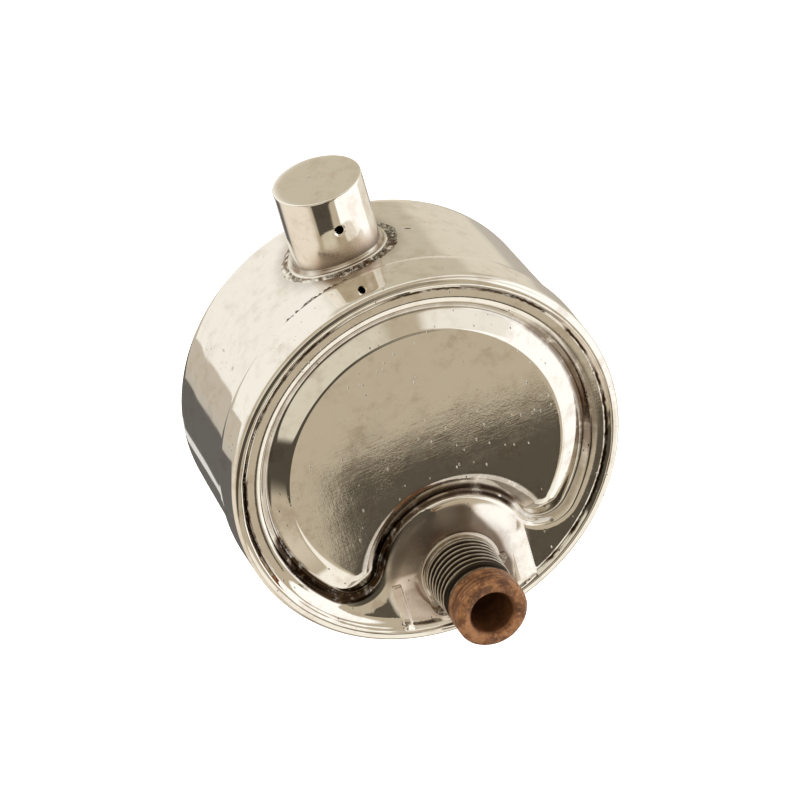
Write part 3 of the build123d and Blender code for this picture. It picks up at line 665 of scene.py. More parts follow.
def cap_top(angle):
    """Rows from the cap's upper edge to near its middle."""
    wall = CAP_RADIUS - 0.012
    edge = [(CAP_TOP - 0.35, wall), (CAP_TOP, wall), (CAP_TOP, CAP_RADIUS - 1.5)]
    flat = [(CAP_TOP, radius) for radius in np.linspace(CAP_RADIUS - 1.9, 0.3, CAP_TOP_ROWS)]
    profile = np.concatenate([rounded(edge, radii=[0.3])[1:], flat])
    height, radius = profile[:, :1], profile[:, 1:]
    x = CAP_X + radius * np.cos(angle)
    y = CAP_Y + radius * np.sin(angle)
    rows = np.stack([x, y, np.broadcast_to(height, x.shape)], axis=-1)
    # the press has left the top a touch uneven
    rows[..., 2] -= np.abs(0.006 * noise(rows, 3.0, 32))
    return rows


def make_cap():
    """The drawn cap: a hollow cup with a countersunk hole in the front of its wall."""
    half = spaced(HOLE_RIM, WARP, math.pi * CAP_RADIUS)
    arc = np.concatenate([-half[:0:-1], half[:-1]])
    up = spaced(HOLE_RIM, WARP, CAP_TOP - 0.35 - HOLE_Z)
    down = spaced(HOLE_RIM, WARP, CAP_DROP)
    level = np.concatenate([-down[:0:-1], up])
    s, rise = np.meshgrid(arc, level)
    # the grid is square round the hole, and is drawn in to the hole's circle
    big = np.maximum(np.abs(s), np.abs(rise))
    away = np.maximum(np.hypot(s, rise), 1e-9)
    block = big <= HOLE_RIM + 1e-6
    blend = np.clip((WARP - big) / (WARP - HOLE_RIM), 0, 1)
    pull = np.where(big < HOLE_RIM, 1, blend * big / away + (1 - blend))
    s, rise = s * pull, rise * pull
    angle = s / CAP_RADIUS - math.pi / 2
    outer = cap_wall(CAP_RADIUS, angle, rise)
    swell = (0.012 * noise(outer, 5.0, 31) - 0.012) / CAP_RADIUS
    outer[..., 0] += (outer[..., 0] - CAP_X) * swell
    outer[..., 1] += (outer[..., 1] - CAP_Y) * swell
    inner = cap_wall(CAP_RADIUS - 0.5, angle, rise)
    inner[..., 2] = np.minimum(inner[..., 2], CAP_TOP - 0.55)
    top = cap_top(angle[-1])
    ceiling = top[::-1][:CAP_TOP_ROWS].copy()
    ceiling[..., 2] = CAP_TOP - 0.5
    rows = np.concatenate([ceiling, inner[::-1], outer, top])
    index = np.arange(rows.shape[0] * len(arc)).reshape(-1, len(arc))
    inner_start = len(ceiling)
    outer_start = inner_start + len(level)
    gone = np.zeros(index.shape, dtype=bool)
    gone[inner_start:outer_start] = block[::-1]
    gone[outer_start : outer_start + len(level)] = block
    gone = gone & np.roll(gone, -1, 1)
    gone = (gone[:-1] & gone[1:]).reshape(-1)
    faces = [face for face, hole in zip(ring_faces(index, closed=False), gone) if not hole]
    # the hole: from its rim on the outside, down the countersink and the bore, to the inside
    row, column = block_edge(block)
    loops = [index[outer_start + row, column]]
    vertices = rows.reshape(-1, 3)
    rim = vertices[loops[0]]
    centre = np.array([CAP_X, 0, HOLE_Z])
    spokes = (rim - centre) * (1, 0, 1)
    spokes = spokes / np.linalg.norm(spokes, axis=1, keepdims=True)
    steps = ((0.02, HOLE_RIM - 0.02), (0.15, HOLE_BORE + 0.03), (0.2, HOLE_BORE), (0.42, HOLE_BORE))
    for depth, radius in steps:
        points = centre + spokes * radius
        points[:, 1] = rim[:, 1] + depth
        loops.append(np.arange(len(vertices), len(vertices) + len(points)))
        vertices = np.vstack([vertices, points])
    loops.append(index[outer_start - 1 - row, column])
    faces += ring_faces(np.array(loops), closed=False)
    vertices = np.vstack([vertices, rows[0].mean(0), rows[-1].mean(0)])
    faces += pole_faces(len(vertices) - 2, index[0][::-1])
    faces += pole_faces(len(vertices) - 1, index[-1])
    # vertices inside the hole carry no face, so they go
    used = np.zeros(len(vertices), dtype=bool)
    used[[v for face in faces for v in face]] = True
    renumber = np.cumsum(used) - 1
    faces = [tuple(int(renumber[v]) for v in face) for face in faces]
    vertices = vertices[used]
    x, y, z = vertices.T
    above = z - drum_top(x)
    facing = (0.2 * (x - CAP_X) - (y - CAP_Y)) / CAP_RADIUS
    haze = smoothstep(facing, 0.35, 0.8) * (1 - smoothstep(above, 1.5, 4.5))
    marks = {"grime_and_painted_shade": 0.9 * (1 - smoothstep(above, 0.2, 2.2)), "haze": haze, "browning_and_painted_reflection": 0.5 * haze}
    return mesh_piece("cap_cup", vertices, faces, marks, sharp_angle=38)


def make_cap_solder():
    """Smooth fillet up the cap's foot with a crisp lip, and gritty overrun outside it."""
    around = 480
    radii = np.concatenate([
        np.linspace(5.6, 6.45, 12, endpoint=False),
        np.linspace(6.45, 6.8, 10, endpoint=False),
        np.linspace(6.8, 8.5, 22),
    ])
    height = smooth_profile(
        [
            (5.5, 0.9),
            (5.9, 0.8),
            (6.0, 0.6),
            (6.2, 0.42),
            (6.45, 0.36),
            (6.6, 0.4),
            (6.74, 0.16),
            (7.8, 0.07),
            (8.4, -0.1),
        ],
        width=0.045,
    )
    r, a = np.meshgrid(radii, turn_round(around), indexing="ij")
    spokes = np.stack([np.cos(a), np.sin(a), 0 * a], -1)
    lobes = 0.3 * noise(spokes, 0.45, 41) + 0.1 * noise(spokes, 0.12, 45)
    x, y = CAP_X + r * np.cos(a), CAP_Y + r * np.sin(a)
    points = np.stack([x, y, 0 * x], axis=-1)
    # the overrun is heaviest at the front and on the right
    degrees = (np.degrees(a) + 110) % 360
    heavy = 0.3 + 0.7 * (1 - smoothstep(degrees, 120, 165)) * smoothstep(degrees, 0, 12)
    h = height(r + (lobes + 0.9 * (1 - heavy)) * smoothstep(r, 6.8, 7.2))
    grain = 0.08 * noise(points, 0.34, 42) + 0.08 * noise(points, 0.17, 43)
    h = h + heavy * grain * smoothstep(r, 6.7, 6.85) * (1 - smoothstep(r + lobes, 7.6, 8.2))
    top = np.stack([x, y, solder_ground(x, y) + h - 0.03], axis=-1)
    low = np.stack([x[[-1, 0]], y[[-1, 0]], drum_top(x[[-1, 0]]) - 0.3], axis=-1)
    rings = np.concatenate([top, low])
    speckle = np.clip(0.6 + 0.8 * noise(rings, 0.5, 44), 0, 1)
    out = np.hypot(rings[..., 0] - CAP_X, rings[..., 1] - CAP_Y)
    dirt = speckle * smoothstep(out, 6.66, 6.75) * (0.2 + 0.8 * np.vstack([heavy, heavy[-2:]]))
    tarnish = 0.9 * (1 - smoothstep(out, 6.3, 6.5)) * np.clip(0.62 + 0.7 * noise(rings, 1.3, 46), 0, 1)
    return ring_piece("cap_solder_fillet", rings, {"grime_and_painted_shade": dirt, "tarnish": tarnish})


# ---------------------------------------------------------------- inlet nipple
PITCH = 25.4 / 27
THREAD_END = -7 * PITCH
PILOT_START = NIPPLE_TIP + 3.7
PILOT_RADIUS = 4.9
BORE = 2.9
CREST = 5.08
TOOTH = 0.56
NECK_RADIUS = 4.45
COLLAR_Y = RIM_Y - 0.55


def make_nipple():
    """Taper thread cut as one helix that runs in and out, then the neck, the pilot and the bore."""
    around = 192
    angle = turn_round(around)
    rows = np.arange(0, THREAD_END - 0.75, -PITCH / 14)
    y = np.repeat(rows[:, None], around, axis=1)
    phase = (-y / PITCH + angle / (2 * np.pi)) % 1.0
    tooth = np.clip(np.abs(phase - 0.5) * 2.5 - 0.18, 0, 1)
    relief = smoothstep(-y, -THREAD_END - 0.35, -THREAD_END + 0.25)
    cut = (1 - smoothstep(tooth, 0, 1)) * smoothstep(-y, 0.15, 0.7) * (1 - relief)
    crest = CREST + y / 32
    radius = crest - TOOTH * cut - (crest - NECK_RADIUS) * relief
    thread = np.stack([radius * np.cos(angle), y, radius * np.sin(angle)], axis=-1)
    worn = 0.05 * np.clip(noise(thread, 0.9, 51), 0, 1)
    radius = radius - worn * (1 - relief) * (radius > crest - 0.2)
    thread = np.stack([radius * np.cos(angle), y, radius * np.sin(angle)], axis=-1)
    front = rounded(
        [
            (THREAD_END - 0.8, NECK_RADIUS),
            (PILOT_START, NECK_RADIUS),
            (PILOT_START, PILOT_RADIUS),
            (NIPPLE_TIP, PILOT_RADIUS),
            (NIPPLE_TIP, BORE + 0.35),
            (NIPPLE_TIP + 0.45, BORE),
            (NIPPLE_BACK, BORE),
        ],
        radii=[0.12, 0.3, 0.55, 0.12, 0.2],
        step=0.3,
    )
    back = rounded(
        [
            (NIPPLE_BACK, BORE + 0.05),
            (NIPPLE_BACK, FLANGE_RADIUS),
            (NIPPLE_BACK - 0.8, FLANGE_RADIUS),
            (NIPPLE_BACK - 0.8, CREST),
            (0.1, CREST),
        ],
        radii=[0.1, 0.1, 0.1],
        step=1.0,
    )
    turned = lathe_rings(front, around)
    wear = 0.035 * noise(turned, 1.1, 52) + 0.02 * noise(turned, 0.4, 53)
    rim = smoothstep(np.hypot(turned[..., 0], turned[..., 2]), 3.0, 3.4)
    shrink = 1 - np.abs(wear) * rim / 5
    turned[..., 0] *= shrink
    turned[..., 2] *= shrink
    turned[..., 1] += np.abs(wear) * rim * (turned[..., 1] < NIPPLE_TIP + 0.3)
    rings = np.concatenate([thread, turned, lathe_rings(back, around)])
    inside = 1 - smoothstep(np.hypot(rings[..., 0], rings[..., 2]), BORE + 0.02, BORE + 0.12)
    rust = np.maximum(1 - smoothstep(rings[..., 1], PILOT_START - 0.25, PILOT_START + 0.15), inside)
    groove = np.zeros(rings.shape[:2])
    groove[: len(rows)] = np.maximum(cut, relief)
    return ring_piece("nipple_threaded", rings, {"rust": rust, "groove": groove, "bore": inside})


def make_nipple_braze():
    """Ring of braze on the collar, with a rough lump at the lower left and a small one on the right."""
    around, steps, inside = 420, 22, CREST - 0.02
    angle = turn_round(around)
    degrees = np.degrees(angle)
    left_lump = np.exp(-((degrees - 232) / 20) ** 2)
    right_lump = np.exp(-((degrees - 352) / 12) ** 2)
    lump = 0.8 * left_lump + 0.5 * right_lump
    rings = []
    for t in np.linspace(0, 1, steps):
        reach = inside + (0.5 + 1.9 * lump) * t
        x, z = reach * np.cos(angle), reach * np.sin(angle)
        face = RIM_Y + cover_depth(x, z)
        points = np.stack([x, 0 * x, z], axis=-1)
        grain = 0.16 * noise(points, 0.5, 61) + 0.1 * noise(points, 0.25, 62)
        y = np.minimum(face, COLLAR_Y + 0.02) - 0.3 * math.sqrt(1 - t**2.2)
        y = y - lump * (0.25 + grain) * math.sin(math.pi * min(t * 1.1, 1))
        y = y - 0.012 * noise(points, 0.8, 63)
        rings.append(np.stack([x, face + 0.05 if t == 1 else y, z], axis=-1))
    rings += list(lathe_rings(np.array([(COLLAR_Y + 0.3, inside)]), around))
    rings = np.array(rings)
    grime_and_painted_shade = np.broadcast_to(0.9 * np.clip(lump, 0, 1), rings.shape[:2])
    tarnish = np.full(rings.shape[:2], 0.45)
    return ring_piece("nipple_braze_bead", rings, {"grime_and_painted_shade": grime_and_painted_shade, "tarnish": tarnish})


# ---------------------------------------------------------------- materials
class Graph:
    """Short calls for the nodes of one material or world."""

    def __init__(self, tree):
        self.tree = tree

    def node(self, kind, **inputs):
        node = self.tree.nodes.new(kind)
        for key, value in inputs.items():
            self.feed(node.inputs[key], value)
        return node

    def feed(self, socket, value):
        if isinstance(value, bpy.types.NodeSocket):
            self.tree.links.new(value, socket)
        else:
            socket.default_value = value

    def feed_all(self, node, values):
        for socket, value in zip(node.inputs, values):
            self.feed(socket, value)

    def math(self, operation, *values, clamp=False):
        node = self.tree.nodes.new("ShaderNodeMath")
        node.operation = operation
        node.use_clamp = clamp
        self.feed_all(node, values)
        return node.outputs[0]

    def plus(self, first, second):
        return self.math("ADD", first, second)

    def times(self, first, second):
        return self.math("MULTIPLY", first, second)

    def vector(self, operation, *values):
        node = self.tree.nodes.new("ShaderNodeVectorMath")
        node.operation = operation
        self.feed_all(node, values)
        return node.outputs["Value"] if operation in ("DOT_PRODUCT", "LENGTH") else node.outputs[0]

    def step(self, value, low, high, to_low=0.0, to_high=1.0):
        """Smooth rise, or fall where low is past high, from one value to another."""
        node = self.tree.nodes.new("ShaderNodeMapRange")
        node.interpolation_type = "SMOOTHSTEP"
        self.feed_all(node, (value, low, high, to_low, to_high))
        return node.outputs[0]

    def mix(self, factor, first, second):
        """Blend of two colours, each a socket or three numbers."""
        node = self.tree.nodes.new("ShaderNodeMix")
        node.data_type = "RGBA"
        self.feed(node.inputs[0], factor)
        for socket, value in ((node.inputs[6], first), (node.inputs[7], second)):
            self.feed(socket, opaque(*value) if isinstance(value, tuple) else value)
        return node.outputs[2]

    def scaled(self, vector, scale):
        node = self.node("ShaderNodeMapping", Vector=vector, Scale=scale)
        return node.outputs[0]

    def noise(self, vector, scale, detail=2.0, roughness=0.5):
        values = dict(Vector=vector, Scale=scale, Detail=detail, Roughness=roughness)
        return self.node("ShaderNodeTexNoise", **values).outputs[0]

    def cells(self, vector, scale):
        node = self.node("ShaderNodeTexVoronoi", Vector=vector, Scale=scale)
        return node.outputs["Distance"], node.outputs["Color"]

    def mark(self, name):
        node = self.tree.nodes.new("ShaderNodeAttribute")
        node.attribute_name = name
        return node.outputs["Fac"]

    def bump(self, height, strength, distance, normal=None):
        node = self.node("ShaderNodeBump", Height=height, Strength=strength, Distance=distance)
        if normal is not None:
            self.feed(node.inputs["Normal"], normal)
        return node.outputs[0]


def opaque(r, g, b):
    return (r, g, b, 1.0)


def new_material(name):
    """A material, its shader, its graph and the place in the object's own frame."""
    material = bpy.data.materials.new(name)
    material.use_nodes = True
    nodes = material.node_tree.nodes
    nodes.clear()
    output = nodes.new("ShaderNodeOutputMaterial")
    shader = nodes.new("ShaderNodeBsdfPrincipled")
    g = Graph(material.node_tree)
    g.feed(output.inputs[0], shader.outputs[0])
    return material, shader, g, g.node("ShaderNodeTexCoord").outputs["Object"]


FLUX_BLACK = (0.03, 0.022, 0.015)


def surface(g, shader, base, roughness, normal):
    """Feeds a metal's colour, roughness and normal."""
    shader.inputs["Metallic"].default_value = 1.0
    g.feed(shader.inputs["Base Color"], base)
    g.feed(shader.inputs["Roughness"], roughness)
    g.feed(shader.inputs["Normal"], normal)


def plated_metal(name, clean, stain, rough, pits, waves, scratches, spots):
    """Old bright plate: waves of the pressed metal, fine pits, scratches, and brown in the hollows that is
    partly grime and partly painted shade, with painted dark reflections.
    """
    material, shader, g, at = new_material(name)
    grime_and_painted_shade, haze, browning_and_painted_reflection = g.mark("grime_and_painted_shade"), g.mark("haze"), g.mark("browning_and_painted_reflection")
    cloud = g.noise(at, 180, 5, 0.6)
    blotch = g.noise(at, 520, 4, 0.65)
    film = g.times(g.times(g.step(blotch, 0.42, 0.66), g.step(cloud, 0.38, 0.62)), 0.3)
    dirt_and_shade = g.times(grime_and_painted_shade, g.step(blotch, 0.2, 0.5))
    # sparse pits: a few of the cells of a fine cell pattern hold one
    distance, shade = g.cells(g.scaled(at, (1.0, 1.0, 0.45)), 2600)
    rare = g.step(g.node("ShaderNodeSeparateColor", Color=shade).outputs[0], 0.9, 0.94)
    pit = g.times(g.math("SUBTRACT", 1.0, g.step(distance, 0.12, 0.3)), rare)
    pit = g.times(pit, g.step(g.noise(at, 160, 3), 0.44, 0.56))
    pit = g.math("MULTIPLY", pit, pits, clamp=True)
    for place, size, strength in spots:
        inside_one = tuple(1 / part for part in size)
        away = g.vector("LENGTH", g.scaled(g.vector("SUBTRACT", at, place), inside_one))
        spot = g.step(g.plus(away, g.times(blotch, 0.9)), 1.35, 1.1)
        pit = g.math("MAXIMUM", pit, g.times(spot, strength))
    base = g.mix(film, clean, stain)
    base = g.mix(g.times(haze, 0.35), base, (0.66, 0.53, 0.41))
    # painted dark reflection: this mark turns the cover's boss dark brown; on the cap the same mark is a
    # brown tarnish film
    browning_and_reflection_tone = g.mix(g.step(browning_and_painted_reflection, 0.25, 0.7), (0.42, 0.22, 0.12), (0.14, 0.105, 0.075))
    base = g.mix(g.times(browning_and_painted_reflection, 0.9), base, browning_and_reflection_tone)
    # brown where the grime mark lies: grime and tarnish, and painted shade in the cover's groove
    brown = g.mix(g.step(grime_and_painted_shade, 0.8, 0.97), (0.115, 0.06, 0.028), (0.045, 0.027, 0.014))
    base = g.mix(dirt_and_shade, base, brown)
    base = g.mix(g.times(pit, 0.85), base, FLUX_BLACK)
    roughness = g.plus(rough, g.times(g.step(cloud, 0.4, 0.75), rough))
    for mark, amount in ((dirt_and_shade, 0.12), (haze, 0.3), (pit, 0.5)):
        roughness = g.plus(roughness, g.times(mark, amount))
    # fine scratches in two directions
    long_a = g.noise(g.scaled(at, (260, 260, 7000)), 1.0, 3, 0.6)
    long_b = g.noise(g.scaled(at, (6000, 500, 400)), 1.0, 3, 0.6)
    scratch = g.plus(long_a, long_b)
    normal = g.bump(g.noise(at, 330, 3, 0.55), 0.5 * waves, 0.000006)
    grain = g.noise(at, 3400, 3, 0.65)
    patchy = g.plus(0.35, g.step(g.noise(at, 120, 2), 0.45, 0.6))
    normal = g.bump(g.times(grain, patchy), 0.6 * waves, 0.0000022, normal)
    normal = g.bump(scratch, 0.35 * scratches, 0.0000025, normal)
    normal = g.bump(g.math("SUBTRACT", 1.0, pit), 0.35, 0.00003, normal)
    surface(g, shader, base, roughness, normal)
    return material


def solder_metal(name, clean, stain):
    """Grainy soft solder with dark flux in its hollows."""
    material, shader, g, at = new_material(name)
    grime_and_painted_shade = g.mark("grime_and_painted_shade")
    gritty = g.step(grime_and_painted_shade, 0.02, 0.3)
    lumps = g.noise(at, 2300, 5, 0.7)
    fine = g.noise(at, 4200, 3, 0.6)
    flux = g.times(g.step(lumps, 0.42, 0.53), g.step(grime_and_painted_shade, 0.1, 0.6))
    warm = g.times(g.step(g.noise(at, 700, 3), 0.4, 0.6), gritty)
    warm = g.math("MAXIMUM", warm, g.mark("tarnish"))
    base = g.mix(g.times(gritty, 0.5), clean, (0.3, 0.26, 0.2))
    base = g.mix(warm, base, stain)
    base = g.mix(g.times(flux, 0.8), base, FLUX_BLACK)
    dull = g.times(g.plus(0.03, g.times(fine, 0.3)), gritty)
    normal = g.bump(g.times(lumps, gritty), 0.8, 0.00014)
    normal = g.bump(g.times(fine, gritty), 0.7, 0.00004, normal)
    surface(g, shader, base, g.plus(0.06, dull), normal)
    return material


def nipple_metal(name):
    """Turned brass: dull grey-brown thread with dark roots, and a rust-brown smooth end."""
    material, shader, g, at = new_material(name)
    rust, groove, bore = g.mark("rust"), g.mark("groove"), g.mark("bore")
    blotch = g.noise(at, 700, 5, 0.65)
    fine = g.noise(at, 2500, 4, 0.7)
    rings = g.noise(g.scaled(at, (150, 5200, 150)), 1.0, 3, 0.6)
    brown = g.mix(g.step(blotch, 0.38, 0.6), (0.5, 0.235, 0.105), (0.21, 0.085, 0.035))
    brown = g.mix(g.step(fine, 0.52, 0.66), brown, (0.55, 0.3, 0.16))
    brown = g.mix(g.times(g.step(rings, 0.53, 0.62), 0.75), brown, (0.09, 0.04, 0.02))
    brown = g.mix(g.times(bore, 0.7), brown, (0.17, 0.07, 0.03))
    grey = g.mix(g.step(blotch, 0.4, 0.7), (0.52, 0.47, 0.4), (0.34, 0.28, 0.21))
    grey = g.mix(g.step(groove, 0.03, 0.34), grey, (0.04, 0.03, 0.022))
    smooth = g.plus(0.2, g.times(groove, 0.3))
    dull = g.plus(0.34, g.times(fine, 0.3))
    roughness = g.plus(smooth, g.times(rust, g.math("SUBTRACT", dull, smooth)))
    normal = g.bump(rings, 0.5, 0.00003)
    normal = g.bump(fine, 0.6, 0.00003, normal)
    normal = g.bump(blotch, 0.4, 0.00006, normal)
    surface(g, shader, g.mix(rust, grey, brown), roughness, normal)
    g.feed(shader.inputs["Metallic"], g.math("SUBTRACT", 1.0, g.times(rust, 0.72)))
    return material


def inner_brass(name, clean, stain, rough):
    """Unplated brass inside the drum, stained by steam."""
    material, shader, g, at = new_material(name)
    cloud = g.noise(at, 350, 5, 0.6)
    grain = g.noise(g.scaled(at, (300, 300, 4000)), 1.0, 3, 0.6)
    base = g.mix(g.step(cloud, 0.35, 0.7), clean, stain)
    surface(g, shader, base, g.plus(rough, g.times(grain, 0.25)), g.bump(grain, 0.4, 0.00001))
    return material


# ---------------------------------------------------------------- pieces
def settle(piece, material, slot, *nodes):
    """Gives a piece its material and body, and hides the CAD nodes that it stands for; the slot argument
    is not used.
    """
    piece.data.materials.append(material)
    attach(piece, "casing")
    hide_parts(*nodes)


# single marks of use: place, half sizes and depth of each, in metres
COVER_SPOTS = [((0.01369, RIM_Y * MM + 0.0004, 0.00092), (0.0004, 0.0006, 0.00028), 0.8)]
SHELL_SPOTS = [
    ((-0.01874, 0.01656, 0.03477), (0.0002, 0.0007, 0.0003), 0.35),
    ((-0.01909, 0.01187, 0.03465), (0.0003, 0.0004, 0.0008), 0.35),
    ((0.00911, 0.01693, 0.0412), (0.0006, 0.00025, 0.0005), 0.9),
    ((0.00736, 0.00605, 0.04265), (0.0007, 0.0002, 0.0005), 0.6),
]
CAP_SPOTS = [((-0.00133, 0.01772, CAP_TOP * MM), (0.0004, 0.0003, 0.0006), 0.16)]

nickel = plated_metal(
    "nickel_plate",
    clean=(0.88, 0.85, 0.79),
    stain=(0.42, 0.3, 0.2),
    rough=0.02,
    pits=1.0,
    waves=0.5,
    scratches=0.35,
    spots=COVER_SPOTS,
)
side_nickel = plated_metal(
    "side_nickel_plate",
    clean=(0.86, 0.83, 0.77),
    stain=(0.5, 0.4, 0.3),
    rough=0.04,
    pits=0.5,
    waves=1.0,
    scratches=0.5,
    spots=SHELL_SPOTS,
)
cap_nickel = plated_metal(
    "cap_nickel_plate",
    clean=(0.9, 0.87, 0.81),
    stain=(0.55, 0.4, 0.28),
    rough=0.04,
    pits=0.2,
    waves=0.6,
    scratches=0.5,
    spots=CAP_SPOTS,
)
solder = solder_metal("soft_solder", (0.82, 0.78, 0.71), (0.24, 0.16, 0.095))
nipple_brass = nipple_metal("nipple_brass")
brass = inner_brass("steam_stained_brass", (0.74, 0.57, 0.3), (0.4, 0.27, 0.14), 0.22)
float_skin = inner_brass("float_brass", (0.68, 0.5, 0.27), (0.36, 0.22, 0.12), 0.3)

settle(make_cover(), nickel, "nickel_plate", "front_cover")
settle(make_shell(), side_nickel, "nickel_plate", "rear_shell")
settle(make_seam(), solder, "solder", "seam_solder")
settle(make_cap(), cap_nickel, "nickel_plate", "vent_cap")
settle(make_cap_solder(), solder, "solder", "cap_solder_ring")
settle(make_nipple(), nipple_brass, "tarnished_brass", "inlet_nipple")
settle(make_nipple_braze(), solder, "solder", "nipple_braze_ring")

for node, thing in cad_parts.items():
    finish = float_skin if node in ("float_front_half", "float_rear_half") else brass
    for holder in thing.material_slots:
        holder.material = solder if node == "float_seam_solder" else finish


# ---------------------------------------------------------------- camera
AIM = Vector((0.00013, 0.00842, 0.02269))
AZIMUTH, ELEVATION, ROLL = -10.94, 32.27, -16.4
DISTANCE = 0.8426

camera_data = bpy.data.cameras.new("camera")
camera_data.lens = 292.5
camera_data.sensor_width = 36
camera_data.clip_start = 0.01
camera_data.clip_end = 10
camera = add_object("camera", camera_data)
a, e = math.radians(AZIMUTH), math.radians(ELEVATION)
back = Vector((math.sin(a) * math.cos(e), -math.cos(a) * math.cos(e), math.sin(e)))
camera.location = AIM + back * DISTANCE
camera.rotation_mode = "QUATERNION"
level_turn = (-back).to_track_quat("-Z", "Y")
camera.rotation_quaternion = level_turn @ Quaternion((0, 0, 1), math.radians(ROLL))
bpy.context.scene.camera = camera
bpy.context.scene.view_settings.view_transform = "Standard"


# ---------------------------------------------------------------- floor and light
def make_floor():
    """Pale floor under the object, which neither lights it nor shows in it."""
    mesh = bpy.data.meshes.new("floor")
    size, low = 3.0, cad_box[0].z - 0.12
    corners = [(-size, -size, low), (size, -size, low), (size, size, low), (-size, size, low)]
    mesh.from_pydata(corners, [], [(0, 1, 2, 3)])
    floor = add_object("floor", mesh)
    material, shader, g, at = new_material("floor_white")
    base = g.mix(g.noise(at, 3, 2), (0.9, 0.9, 0.9), (0.94, 0.94, 0.94))
    g.feed(shader.inputs["Base Color"], base)
    shader.inputs["Roughness"].default_value = 0.9
    shader.inputs["Emission Color"].default_value = opaque(1, 1, 1)
    shader.inputs["Emission Strength"].default_value = 1.0
    mesh.materials.append(material)
    floor.visible_glossy = False
    floor.visible_diffuse = False


def direction(azimuth, elevation):
    """Unit vector towards a place on the studio's sphere: azimuth 0 is +Y and 90 is +X."""
    a, e = math.radians(azimuth), math.radians(elevation)
    return Vector((math.sin(a) * math.cos(e), math.cos(a) * math.cos(e), math.sin(e)))


def wall_card(g, sky, towards, wobble, place, size, light, soft, corners=4):
    """Adds a soft-edged card of light, or of shade, to the studio's far wall; sizes are in degrees."""
    forward = direction(*place)
    level = forward.cross(Vector((0, 0, 1))).normalized()
    upright = level.cross(forward)
    ahead = g.vector("DOT_PRODUCT", towards, tuple(forward))
    safe = g.math("MAXIMUM", ahead, 0.05)
    total = wobble
    for axis, half in ((level, size[0]), (upright, size[1])):
        along = g.math("DIVIDE", g.vector("DOT_PRODUCT", towards, tuple(axis)), safe)
        part = g.math("DIVIDE", g.math("ABSOLUTE", along), math.tan(math.radians(half)))
        total = g.plus(total, g.math("POWER", part, corners))
    inside = g.step(total, 1 + corners * soft, max(0.02, 1 - corners * soft))
    inside = g.times(inside, g.step(ahead, 0.06, 0.14))
    return g.mix(inside, sky, light)


WALL_CARDS = [
    # (azimuth, elevation), (half width, half height), light, softness; the last two have crisper corners
    ((180, 0), (80, 70), (0.54, 0.465, 0.35), 0.1),
    ((-160, 10), (28, 20), (0.74, 0.69, 0.575), 0.15),
    ((-30, 40), (46, 46), (1.02, 0.99, 0.93), 0.1),
    ((27, 44), (26, 40), (0.6, 0.54, 0.425), 0.24),
    ((25, -4), (16, 12), (0.78, 0.72, 0.6), 0.2),
    ((-34, -8), (30, 5), (0.6, 0.54, 0.45), 0.05),
    ((-22, -32), (24, 16), (0.15, 0.14, 0.13), 0.03),
    ((-4, -30.5), (9, 0.9), (0.8, 0.78, 0.76), 0.1),
    ((-84, -30), (38, 34), (0.88, 0.79, 0.67), 0.25),
    ((110, -18), (47, 44), (1.22, 1.21, 1.19), 0.05),
    ((138, 14), (19, 16), (0.95, 0.91, 0.84), 0.15),
    ((60, -22), (18, 40), (0.85, 0.8, 0.7), 0.15),
    ((172, -58), (26, 23.2), (1.05, 1.0, 0.91), 0.03),
    ((176, -3), (13, 11), (0.12, 0.1, 0.074), 0.15),
    ((168.3, -34.1), (1.67, 0.7), (0.1, 0.084, 0.062), 0.01, 6),
    ((168.2, -33.4), (1.56, 0.75), (0.1, 0.084, 0.062), 0.01, 6),
]


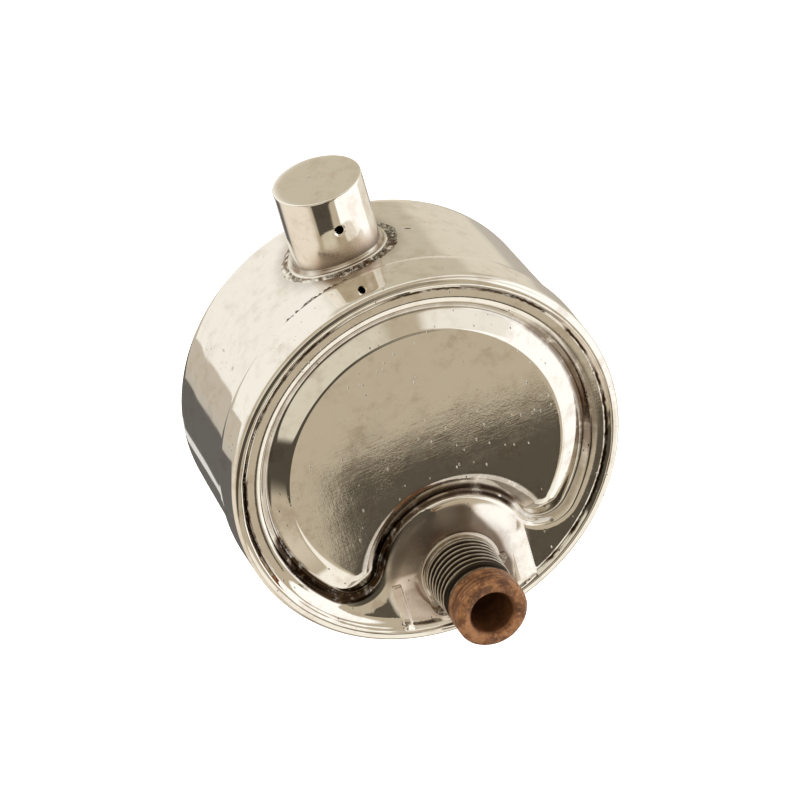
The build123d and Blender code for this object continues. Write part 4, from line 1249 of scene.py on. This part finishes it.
def make_world():
    """Studio seen only in reflections: a warm grey room with cards of light and shade."""
    world = bpy.data.worlds.new("studio")
    bpy.context.scene.world = world
    world.use_nodes = True
    world.node_tree.nodes.clear()
    g = Graph(world.node_tree)
    towards = g.node("ShaderNodeTexCoord").outputs["Generated"]
    height = g.node("ShaderNodeSeparateXYZ", Vector=towards).outputs[2]
    sky = g.mix(g.step(height, -0.9, 0.9), (0.42, 0.37, 0.3), (0.95, 0.92, 0.86))
    ripple = g.math("SUBTRACT", g.noise(towards, 7.0, 2.0), 0.5)
    wobble = g.times(ripple, 0.12)
    for card in WALL_CARDS:
        sky = wall_card(g, sky, towards, wobble, *card)
    room = g.node("ShaderNodeBackground", Color=sky, Strength=1.0)
    white = g.node("ShaderNodeBackground", Color=opaque(1, 1, 1), Strength=1.0)
    mixed = g.tree.nodes.new("ShaderNodeMixShader")
    seen = g.node("ShaderNodeLightPath").outputs["Is Camera Ray"]
    g.feed_all(mixed, (seen, room.outputs[0], white.outputs[0]))
    output = g.tree.nodes.new("ShaderNodeOutputWorld")
    g.feed(output.inputs[0], mixed.outputs[0])


def oval(half, turn):
    """Place on one axis of a round-cornered outline at this cosine or sine of its turn."""
    return half * math.copysign(abs(turn) ** 0.5, turn)


def make_dark_flag():
    """Dark flag with soft edges before the drum, a little below the lens; only reflections see it."""
    distance, half_width, half_height, tilt = 0.17, 0.115, 0.049, math.radians(-13)
    towards = direction(-166, -10.5)
    level = towards.cross(Vector((0, 0, 1))).normalized()
    upright = level.cross(towards)
    level, upright = (
        level * math.cos(tilt) + upright * math.sin(tilt),
        upright * math.cos(tilt) - level * math.sin(tilt),
    )
    rim = [(oval(half_width, math.cos(a)), oval(half_height, math.sin(a)), 0.0) for a in turn_round(48)]
    mesh = bpy.data.meshes.new("dark_flag")
    mesh.from_pydata(rim, [], [tuple(range(len(rim)))])
    flag = add_object("dark_flag", mesh)
    turned = Matrix((level, upright, -towards)).transposed().to_4x4()
    middle = Vector((0, RIM_Y * MM, AXIS_Z * MM)) + distance * towards
    flag.matrix_world = Matrix.Translation(middle) @ turned
    material, shader, g, at = new_material("flag_cloth")
    parts = g.node("ShaderNodeSeparateXYZ", Vector=at).outputs
    shade = g.mix(g.step(parts[0], -0.04, -0.1), (0.085, 0.072, 0.053), (0.36, 0.31, 0.24))
    g.feed(shader.inputs["Emission Color"], shade)
    across = g.math("POWER", g.math("DIVIDE", g.math("ABSOLUTE", parts[0]), half_width), 4.0)
    up = g.math("POWER", g.math("DIVIDE", g.math("ABSOLUTE", parts[1]), half_height), 4.0)
    g.feed(shader.inputs["Alpha"], g.step(g.plus(across, up), 1.0, 0.55))
    shader.inputs["Emission Strength"].default_value = 1.0
    shader.inputs["Base Color"].default_value = opaque(0, 0, 0)
    shader.inputs["Specular IOR Level"].default_value = 0.0
    mesh.materials.append(material)
    flag.visible_camera = False
    flag.visible_diffuse = False
    flag.visible_shadow = False


make_floor()
make_world()
make_dark_flag()
